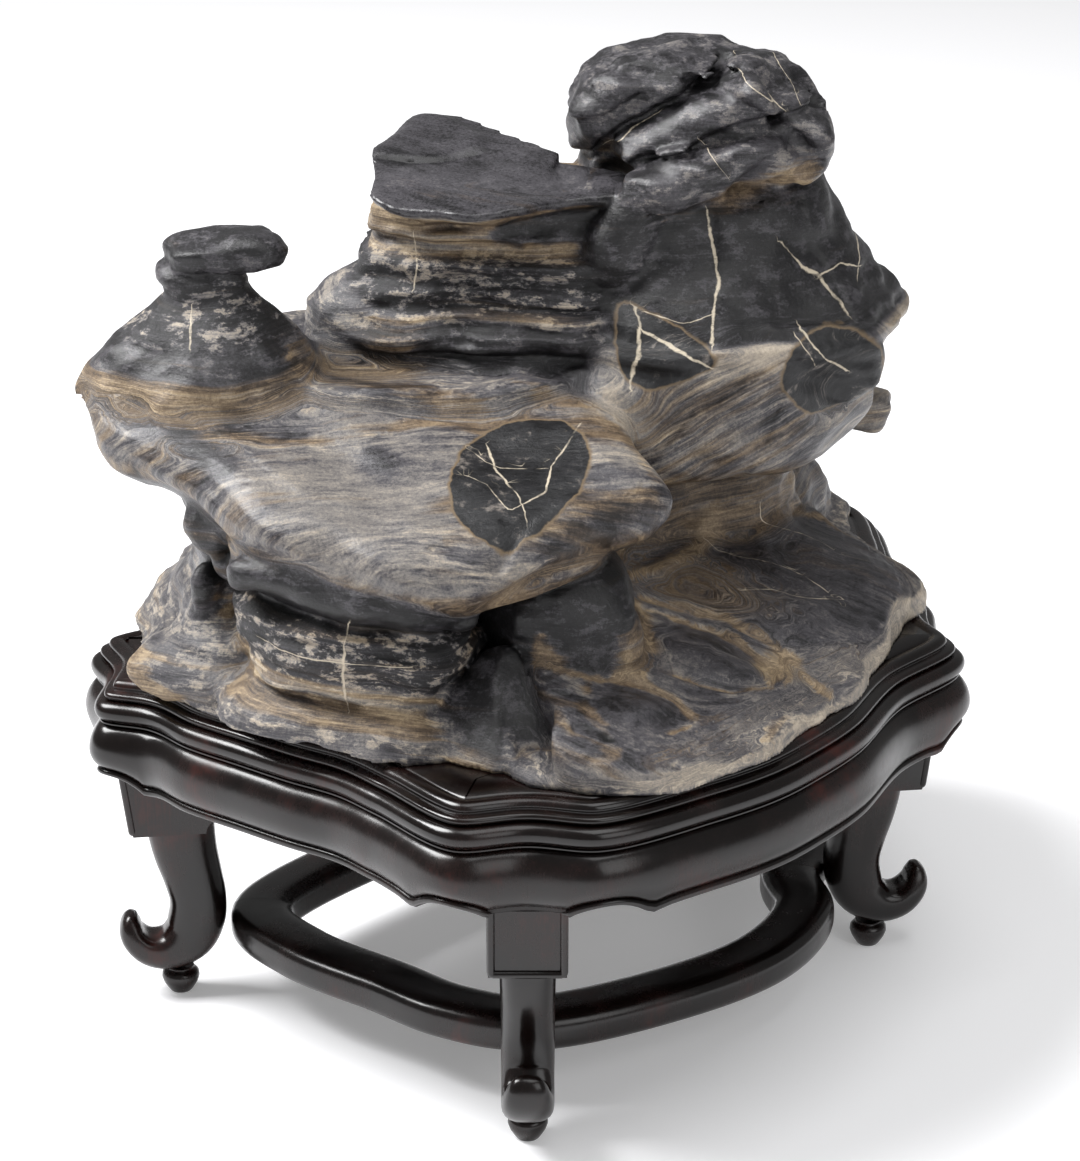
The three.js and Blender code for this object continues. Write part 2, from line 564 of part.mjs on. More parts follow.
// Only the largest connected shell is kept.
function largestShell({ positions, indices }) {
  const parent = Int32Array.from({ length: positions.length / 3 }, (_, i) => i);
  const root = (i) => {
    while (parent[i] !== i) i = parent[i] = parent[parent[i]];
    return i;
  };
  for (let t = 0; t < indices.length; t += 3) {
    parent[root(indices[t])] = root(indices[t + 1]);
    parent[root(indices[t + 1])] = root(indices[t + 2]);
  }
  const sizes = new Map();
  for (const i of indices) sizes.set(root(i), (sizes.get(root(i)) ?? 0) + 1);
  const largest = [...sizes].sort((a, b) => b[1] - a[1])[0][0];
  return { positions, indices: indices.filter((i) => root(i) === largest) };
}

// Edges are collapsed in order of least change to the skin, until few enough triangles are left.
function simplify({ positions, indices }, target) {
  const at = [];
  for (let i = 0; i < positions.length; i += 3) at.push(new THREE.Vector3(...positions.slice(i, i + 3)));
  const faces = [];
  for (let i = 0; i < indices.length; i += 3) faces.push(indices.slice(i, i + 3));
  const around = at.map(() => new Set());
  const form = at.map(() => new Float64Array(10));
  const edge1 = new THREE.Vector3();
  const edge2 = new THREE.Vector3();
  const normalOf = (a, b, c) => edge1.subVectors(b, a).cross(edge2.subVectors(c, a)).clone();
  faces.forEach((face, f) => {
    const n = normalOf(...face.map((v) => at[v]));
    const area = n.length();
    if (area > 0) n.divideScalar(area);
    const d = -n.dot(at[face[0]]);
    const plane = [n.x, n.y, n.z, d];
    for (const v of face) {
      around[v].add(f);
      for (let i = 0, q = 0; i < 4; i++) for (let j = i; j < 4; j++) form[v][q++] += plane[i] * plane[j] * area;
    }
  });
  const errorAt = (q, { x, y, z }) => q[0] * x * x + 2 * q[1] * x * y + 2 * q[2] * x * z + 2 * q[3] * x
    + q[4] * y * y + 2 * q[5] * y * z + 2 * q[6] * y + q[7] * z * z + 2 * q[8] * z + q[9];
  const best = (a, b) => {
    const q = form[a].map((value, i) => value + form[b][i]);
    const m = new THREE.Matrix3().set(q[0], q[1], q[2], q[1], q[4], q[5], q[2], q[5], q[7]);
    const choices = [at[a], at[b], at[a].clone().add(at[b]).multiplyScalar(0.5)];
    const size = at[a].distanceTo(at[b]);
    if (Math.abs(m.determinant()) > 1e-3) {
      const ideal = new THREE.Vector3(-q[3], -q[6], -q[8]).applyMatrix3(m.invert());
      if (ideal.distanceTo(choices[2]) < 1.5 * size) choices.push(ideal);
    }
    let found = { cost: Infinity };
    for (const point of choices) {
      const cost = errorAt(q, point) + 0.02 * size * size;
      if (cost < found.cost) found = { cost, point: point.clone() };
    }
    return { ...found, a, b, ages: [age[a], age[b]] };
  };
  const age = new Int32Array(at.length);
  const heap = [];
  const push = (item) => {
    let i = heap.push(item) - 1;
    while (i > 0 && heap[(i - 1) >> 1].cost > item.cost) {
      heap[i] = heap[(i - 1) >> 1];
      i = (i - 1) >> 1;
    }
    heap[i] = item;
  };
  const pop = () => {
    const top = heap[0];
    const last = heap.pop();
    if (!heap.length) return top;
    let i = 0;
    for (;;) {
      let child = 2 * i + 1;
      if (child >= heap.length) break;
      if (child + 1 < heap.length && heap[child + 1].cost < heap[child].cost) child++;
      if (heap[child].cost >= last.cost) break;
      heap[i] = heap[child];
      i = child;
    }
    heap[i] = last;
    return top;
  };
  const neighbours = (v) => {
    const found = new Set();
    for (const f of around[v]) for (const u of faces[f]) if (u !== v) found.add(u);
    return found;
  };
  const flips = (from, to, point) => {
    for (const f of around[from]) {
      if (faces[f].includes(to)) continue;
      const moved = faces[f].map((v) => (v === from ? point : at[v]));
      const before = normalOf(...faces[f].map((v) => at[v]));
      const after = normalOf(...moved);
      if (before.dot(after) < 0.3 * before.length() * after.length() || after.length() < 0.02) return true;
    }
    return false;
  };
  for (const [a, b, c] of faces) for (const [u, v] of [[a, b], [b, c], [c, a]]) if (u < v) push(best(u, v));
  let left = faces.length;
  while (left > target && heap.length) {
    const { a, b, point, ages } = pop();
    if (ages[0] !== age[a] || ages[1] !== age[b]) continue;
    const others = neighbours(b);
    const shared = [...neighbours(a)].filter((v) => others.has(v));
    if (shared.length !== 2 || flips(a, b, point) || flips(b, a, point)) continue;
    for (const f of around[b]) {
      if (faces[f].includes(a)) {
        for (const v of faces[f]) if (v !== b) around[v].delete(f);
        faces[f] = null;
        left--;
      } else {
        faces[f] = faces[f].map((v) => (v === b ? a : v));
        around[a].add(f);
      }
    }
    around[b].clear();
    form[b].forEach((value, i) => { form[a][i] += value; });
    at[a].copy(point);
    age[b] = -1;
    age[a]++;
    for (const v of neighbours(a)) push(best(a, v));
  }
  const kept = faces.filter(Boolean).flat();
  return mergeVertices(geometryFrom(kept.flatMap((v) => at[v].toArray()), kept.map((_, i) => i)), 1e-4);
}

function stone() {
  const skin = simplify(largestShell(polygonise(stoneDistance)), rockTriangles);
  const spots = skin.getAttribute("position");
  for (let i = 0; i < spots.count; i++) if (spots.getZ(i) - stoneFoot < 0.6) spots.setZ(i, stoneFoot);
  return skin;
}

// ---- Assembly ----
const limestone = new THREE.MeshStandardMaterial({ color: "#5d5a57", roughness: 0.55, metalness: 0 });
const part = new THREE.Group();
part.add(named("rock", stone(), limestone));
part.add(named("top_board", topBoard()), named("lower_moulding", lowerMoulding()));
const apronNames = ["apron_front_right", "apron_back_right", "apron_back_left", "apron_front_left"];
const railNames = ["rail_front_right", "rail_back_right", "rail_back_left", "rail_front_left"];
legs.forEach((spec, i) => {
  part.add(named(apronNames[i], apron(i)));
  part.add(named(railNames[i], rail(i)));
  part.add(named(`leg_${spec.name}`, leg(spec)));
  part.add(named(`ball_foot_${spec.name}`, ballFoot(spec)));
});

// The frame's origin is the middle of the whole footprint, on the floor.
const middle = new THREE.Box3().setFromObject(part).getCenter(new THREE.Vector3());
part.position.set(-middle.x, -middle.y, 0);

export default part;
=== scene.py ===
import math

import bmesh
import bpy
import numpy as np
import openvdb
from mathutils import Matrix, Vector


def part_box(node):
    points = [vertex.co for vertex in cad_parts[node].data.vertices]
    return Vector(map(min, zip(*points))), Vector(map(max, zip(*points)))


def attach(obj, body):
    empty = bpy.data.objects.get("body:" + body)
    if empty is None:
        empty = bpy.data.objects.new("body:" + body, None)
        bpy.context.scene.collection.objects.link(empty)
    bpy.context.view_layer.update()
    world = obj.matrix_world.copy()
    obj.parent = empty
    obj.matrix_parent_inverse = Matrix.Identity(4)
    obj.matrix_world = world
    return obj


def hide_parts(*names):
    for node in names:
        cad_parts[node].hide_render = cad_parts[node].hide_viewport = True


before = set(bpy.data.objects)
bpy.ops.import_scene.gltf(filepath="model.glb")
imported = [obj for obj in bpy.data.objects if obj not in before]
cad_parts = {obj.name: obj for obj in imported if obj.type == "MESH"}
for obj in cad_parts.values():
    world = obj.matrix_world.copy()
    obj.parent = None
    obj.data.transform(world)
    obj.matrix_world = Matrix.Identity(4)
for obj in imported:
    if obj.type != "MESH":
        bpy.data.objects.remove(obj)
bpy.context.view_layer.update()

# The object was laid out on a plan of its own, on which the front foot stands here.
frontFoot = (0.0, -195.0)  # mm
footLow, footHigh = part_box("ball_foot_front")
planShift = np.array([
    (footLow.x + footHigh.x) * 500 - frontFoot[0],  # half of the two, from metres to mm
    (footLow.y + footHigh.y) * 500 - frontFoot[1],
    0.0,
])  # mm, from that plan to the frame


def linear(code):
    # an sRGB hex colour as linear red, green, blue and alpha
    parts = [int(code[i:i + 2], 16) / 255 for i in (1, 3, 5)]
    return [p / 12.92 if p <= 0.04045 else ((p + 0.055) / 1.055) ** 2.4 for p in parts] + [1.0]


def addNode(tree, kind, settings=None, **links):
    # a node with its settings, its inputs linked or set by name (spaces as _) or by place (i0, i1);
    # "out" picks the output handed back and "stops" fills a ramp with greys or colours
    node = tree.nodes.new("ShaderNode" + kind)
    settings = dict(settings or {})
    out, stops = settings.pop("out", 0), settings.pop("stops", [])
    for name, value in settings.items():
        setattr(node, name, value)
    for _ in stops[2:]:
        node.color_ramp.elements.new(0.5)
    for step, (place, colour) in zip(node.color_ramp.elements if stops else [], stops):
        step.position = place
        step.color = linear(colour) if isinstance(colour, str) else (colour, colour, colour, 1.0)
    for name, value in links.items():
        socket = node.inputs[int(name[1:]) if name[1:].isdigit() else name.replace("_", " ")]
        if isinstance(value, bpy.types.NodeSocket):
            tree.links.new(value, socket)
        else:
            socket.default_value = value
    return node.outputs[out] if len(node.outputs) else node


def newMaterial(name):
    # an empty node material and its tree
    made = bpy.data.materials.new(name)
    made.use_nodes = True
    made.node_tree.nodes.clear()
    return made, made.node_tree


stone = {
    "voxel": 1.75,  # mm, how finely it is worked
    "triangles": 190000,
    "seed": 11,
    "foot": 199.3,  # mm, the sawn underside
    "low": (-244.0, -232.0, 196.0),
    "high": (236.0, 268.0, 520.0),
    "zoneFade": 1.3,  # mm over which one shape's look gives way to the next
    "zoneReach": 14,  # mm out from a shape's box that its look reaches
    "outlineReach": 36,  # mm past which an inclusion or stain isn't worked out
    "crevice": 9,  # mm out from the skin, where a crevice is still inside the stone; sampled for the painted shade in crevices
    "relief": 13,  # mm that waviness and relief may move the skin
    "flatten": 0.9,  # mm over the foot that is drawn down to it
    "rimTop": 216,  # mm, as high as the slab's sawn rim shows
}
latticeSize = 32  # a power of two, so that & wraps it
lattice = np.random.default_rng(stone["seed"]).random((latticeSize,) * 3).astype(np.float32) * 2 - 1


def noise(x, y, z, size):
    # smooth noise from -1 to 1, one swell about every size mm
    wrap = latticeSize - 1
    whole, part = [], []
    for v in (x, y, z):
        v = np.asarray(v / size, np.float32)
        low = np.floor(v)
        t = v - low
        whole.append(low.astype(np.int32) & wrap)
        part.append(t * t * (3 - 2 * t))
    (i, j, k), (u, v, w) = whole, part
    i2, j2, k2 = (i + 1) & wrap, (j + 1) & wrap, (k + 1) & wrap
    total = 0
    for a, wa in ((i, 1 - u), (i2, u)):
        for b, wb in ((j, 1 - v), (j2, v)):
            total = total + wa * wb * (lattice[a, b, k] * (1 - w) + lattice[a, b, k2] * w)
    return total


def smoothLoop(points, steps=6):
    # a closed centripetal curve through the points
    p = np.array(points, float)
    out = []
    for i in range(len(p)):
        p0, p1, p2, p3 = (p[(i + k) % len(p)] for k in (-1, 0, 1, 2))
        t1 = max(np.linalg.norm(p1 - p0), 1e-3) ** 0.5
        t2 = t1 + max(np.linalg.norm(p2 - p1), 1e-3) ** 0.5
        t3 = t2 + max(np.linalg.norm(p3 - p2), 1e-3) ** 0.5
        for t in np.linspace(t1, t2, steps, endpoint=False):
            a1 = p0 * (t1 - t) / t1 + p1 * t / t1
            a2 = p1 * (t2 - t) / (t2 - t1) + p2 * (t - t1) / (t2 - t1)
            a3 = p2 * (t3 - t) / (t3 - t2) + p3 * (t - t2) / (t3 - t2)
            b1 = a1 * (t2 - t) / t2 + a2 * t / t2
            b2 = a2 * (t3 - t) / (t3 - t1) + a3 * (t - t1) / (t3 - t1)
            out.append(b1 * (t2 - t) / (t2 - t1) + b2 * (t - t1) / (t2 - t1))
    return np.array(out)


planGrid = {"cell": 2, "margin": 40}  # mm


def planField(outline, sharp):
    # signed distance in plan to the outline, kept on a grid and read between its points
    cell, margin = planGrid["cell"], planGrid["margin"]
    edge = np.array(outline, float) if sharp else smoothLoop(outline)
    low = edge.min(0) - margin
    count = np.ceil((edge.max(0) + margin - low) / cell).astype(int) + 2
    gx, gy = np.meshgrid(*(low[k] + cell * np.arange(count[k]) for k in (0, 1)), indexing="ij")
    nearest = np.full(gx.shape, 1e9)
    inside = np.zeros(gx.shape, bool)
    for a, b in zip(edge, np.roll(edge, -1, 0)):
        e = b - a
        px, py = gx - a[0], gy - a[1]
        t = np.clip((px * e[0] + py * e[1]) / (e @ e), 0, 1)
        nearest = np.minimum(nearest, (px - t * e[0]) ** 2 + (py - t * e[1]) ** 2)
        if a[1] != b[1]:
            inside ^= ((a[1] > gy) != (b[1] > gy)) & (px < e[0] * py / e[1])
    field = (np.sqrt(nearest) * np.where(inside, -1, 1)).astype(np.float32)

    def read(x, y):
        u = np.clip((x - low[0]) / cell, 0, count[0] - 1.001)
        v = np.clip((y - low[1]) / cell, 0, count[1] - 1.001)
        i, j = u.astype(np.int32), v.astype(np.int32)
        u, v = u - i, v - j
        return (field[i, j] * (1 - u) * (1 - v) + field[i + 1, j] * u * (1 - v)
                + field[i, j + 1] * (1 - u) * v + field[i + 1, j + 1] * u * v)

    return read, edge


def bed(outline, profile, tilt=(0, 0), soft=3, lean=(0, 0), ledge=0, ledgeSize=6, sharp=False):
    # a bed of stone: a plan outline drawn in by a different amount at each height, on tilted bedding
    read, edge = planField(outline, sharp)
    heights, insets = np.array(profile, float).T
    corners = [tilt[0] * x + tilt[1] * y for x, y in edge]
    reach = heights[-1] - heights[0]
    low = [edge[:, 0].min() + min(insets.min(), 0) - abs(lean[0]) * reach,
           edge[:, 1].min() + min(insets.min(), 0) - abs(lean[1]) * reach, heights[0] + min(corners)]
    high = [edge[:, 0].max() - min(insets.min(), 0) + abs(lean[0]) * reach,
            edge[:, 1].max() - min(insets.min(), 0) + abs(lean[1]) * reach, heights[-1] + max(corners)]

    def level(x, y, z):
        return z - tilt[0] * x - tilt[1] * y

    def distance(x, y, z):
        h = level(x, y, z)
        side = read(x - lean[0] * (h - heights[0]), y - lean[1] * (h - heights[0]))
        side = side + np.interp(h, heights, insets).astype(np.float32) + soft
        if ledge:
            side = side + ledge * noise(x * 0.13 + 40, y * 0.13, h, ledgeSize)
            side = side + 0.4 * ledge * noise(x * 0.2, y * 0.2 + 90, h, ledgeSize * 0.45)
        cap = np.maximum(h - heights[-1], heights[0] - h) + soft
        return (np.minimum(np.maximum(side, cap), 0)
                + np.hypot(np.maximum(side, 0), np.maximum(cap, 0)) - soft)

    return {"low": low, "high": high, "distance": distance, "level": level}


def turnedBack(turn, pitch, roll=0):
    # the matrix that undoes a roll about x, then a pitch about y, then a turn about z, in degrees
    whole = Matrix.Identity(3)
    for angle, axis in ((turn, "Z"), (pitch, "Y"), (roll, "X")):
        whole = whole @ Matrix.Rotation(math.radians(angle), 3, axis)
    return np.array(whole.inverted(), np.float32)


def flatLevel(x, y, z):
    # the bedding height of a shape that has no tilted beds
    return z


def boulder(at, size, turn=0, pitch=0, power=2):
    # a worn boulder, turned about +Z after it is pitched about its own y axis
    rows = turnedBack(turn, pitch)
    radii = np.array(size, np.float32)
    reach = float(max(size))

    def distance(x, y, z):
        p = [x - at[0], y - at[1], z - at[2]]
        q = [(row[0] * p[0] + row[1] * p[1] + row[2] * p[2]) for row in rows]
        s = [np.abs(v) / r for v, r in zip(q, radii)]
        if power == 2:
            near = np.sqrt(sum(v * v for v in s))
        else:
            near = sum(v ** power for v in s) ** (1 / power)
        steep = np.sqrt(sum((v / r) ** 2 for v, r in zip(s, radii)))
        return near * (near - 1) / np.maximum(steep, 1e-4)

    return {"low": [a - reach for a in at], "high": [a + reach for a in at], "distance": distance,
            "level": flatLevel}


def ridge(points, thick, thin=None):
    # a rounded rib or furrow along a few points, thick at its start and thin at its end
    p = np.array(points, float)
    thin = thick if thin is None else thin
    lengths = np.linalg.norm(np.diff(p, axis=0), axis=1)
    along = np.concatenate([[0], np.cumsum(lengths)]) / lengths.sum()
    most = max(thick, thin)

    def distance(x, y, z):
        best = 1e3
        for a, b, s, e in zip(p[:-1], p[1:], along[:-1], along[1:]):
            ab = b - a
            t = np.clip(((x - a[0]) * ab[0] + (y - a[1]) * ab[1] + (z - a[2]) * ab[2]) / (ab @ ab), 0, 1)
            away = np.sqrt((x - a[0] - t * ab[0]) ** 2 + (y - a[1] - t * ab[1]) ** 2
                           + (z - a[2] - t * ab[2]) ** 2)
            best = np.minimum(best, away - thick - (thin - thick) * (s + (e - s) * t))
        return best

    return {"low": list(p.min(0) - most), "high": list(p.max(0) + most), "distance": distance,
            "level": flatLevel}


def spindle(at, profile, flat=1):
    # a turned shape, radius by height, flattened from front to back
    heights, radii = np.array(profile, float).T
    most = radii.max()

    def distance(x, y, z):
        radius = np.interp(z, heights, radii).astype(np.float32)
        side = np.hypot(x - at[0], (y - at[1]) / flat) - radius
        return np.maximum(side * 0.75, np.maximum(z - heights[-1], heights[0] - z))

    return {"low": [at[0] - most, at[1] - most, heights[0]],
            "high": [at[0] + most, at[1] + most, heights[-1]],
            "distance": distance, "level": flatLevel}


def block(at, size, turn=0, pitch=0, roll=0, soft=4):
    # a squared lump with worn edges, rolled about x, pitched about y, then turned about z
    rows = turnedBack(turn, pitch, roll)
    reach = float(np.linalg.norm(size))

    def distance(x, y, z):
        p = [x - at[0], y - at[1], z - at[2]]
        q = [np.abs(row[0] * p[0] + row[1] * p[1] + row[2] * p[2]) - s + soft for row, s in zip(rows, size)]
        out = np.sqrt(sum(np.maximum(v, 0) ** 2 for v in q))
        return out + np.minimum(np.maximum(np.maximum(q[0], q[1]), q[2]), 0) - soft

    return {"low": [a - reach for a in at], "high": [a + reach for a in at], "distance": distance,
            "level": flatLevel}


def worn(x, y, z):
    # a slow waviness that takes the evenness out of every shape
    return (x + 1.7 * np.sin(0.085 * y + 0.060 * z + 1.1) + 0.8 * np.sin(0.21 * z - 0.15 * y + 0.4),
            y + 1.8 * np.sin(0.075 * x - 0.070 * z + 2.3) + 0.8 * np.sin(0.16 * x + 0.23 * z),
            z + 1.2 * np.sin(0.050 * x + 0.060 * y + 0.7) + 0.4 * np.sin(0.13 * x - 0.11 * y + 1.9))


def blend(a, b, soft):
    # the lower of two distances, rounded over where they are close
    near = np.maximum(soft - np.abs(a - b), 0) / soft
    return np.minimum(a, b) - near * near * soft / 4


# What each zone looks like: tone 0 black to 1 cream, warm tan share, band streak strength,
# mottle blotch strength, swirl mm of slow waviness in the streaks, polish 0 broken to 1 rubbed,
# rough mm of small relief
zones = {
    "table": (0.43, 0.46, 0.72, 0.12, 4, 0.80, 0.15),
    "calm": (0.49, 0.10, 0.28, 0.10, 3, 0.85, 0.12),
    "crescent": (0.18, 0.10, 0.35, 0.20, 2, 0.80, 0.15),
    "lip": (0.46, 0.80, 0.75, 0.15, 2, 0.50, 0.30),
    "nose": (0.40, 0.14, 0.40, 0.50, 3, 0.60, 0.50),
    "cap": (0.27, 0.02, 0.16, 0.08, 3, 1.00, 0.12),
    "tanBand": (0.50, 0.85, 0.60, 0.15, 1, 0.40, 0.35),
    "blackBand": (0.09, 0.05, 0.20, 0.35, 1, 0.65, 0.40),
    "strata": (0.15, 0.12, 0.45, 1.00, 1, 0.40, 0.90),
    "rubble": (0.16, 0.25, 0.40, 1.10, 1, 0.35, 0.90),
    "creamBand": (0.58, 0.50, 0.40, 0.50, 1, 0.30, 0.60),
    "black": (0.14, 0.02, 0.16, 0.34, 2, 0.70, 0.45),
    "charcoal": (0.20, 0.04, 0.20, 0.40, 2, 0.70, 0.45),
    "peak": (0.27, 0.05, 0.24, 0.45, 3, 0.75, 0.75),
    "brow": (0.47, 0.42, 0.60, 0.15, 5, 0.65, 0.30),
    "pale": (0.66, 0.20, 0.45, 0.10, 2, 0.65, 0.15),
    "slab": (0.39, 0.28, 0.44, 0.18, 2, 0.60, 0.40),
    "slabDark": (0.30, 0.05, 0.30, 0.16, 2, 0.65, 0.35),
    "sawn": (0.64, 0.02, 0.25, 0.30, 1, 0.20, 0.30),
    "foot": (0.42, 0.20, 0.35, 0.55, 3, 0.30, 0.80),
    "ochre": (0.56, 1.00, 0.40, 0.30, 3, 0.35, 0.40),
    "brown": (0.20, 0.50, 0.40, 0.40, 3, 0.60, 0.55),
    "valley": (0.40, 0.70, 0.55, 0.20, 4, 0.45, 0.40),
}


def add(soft, shape, paint, grain=None):
    # a shape joined on, rounded over soft mm; paint is its zone, or its zones by bedding height,
    # and grain is the way across its streaks where they don't follow its bedding
    return {"soft": soft, "shape": shape, "sign": 1, "paint": paint, "grain": grain}


def carve(soft, shape, paint=None):
    # a shape taken away
    return {"soft": soft, "shape": shape, "sign": -1, "paint": paint, "grain": None}


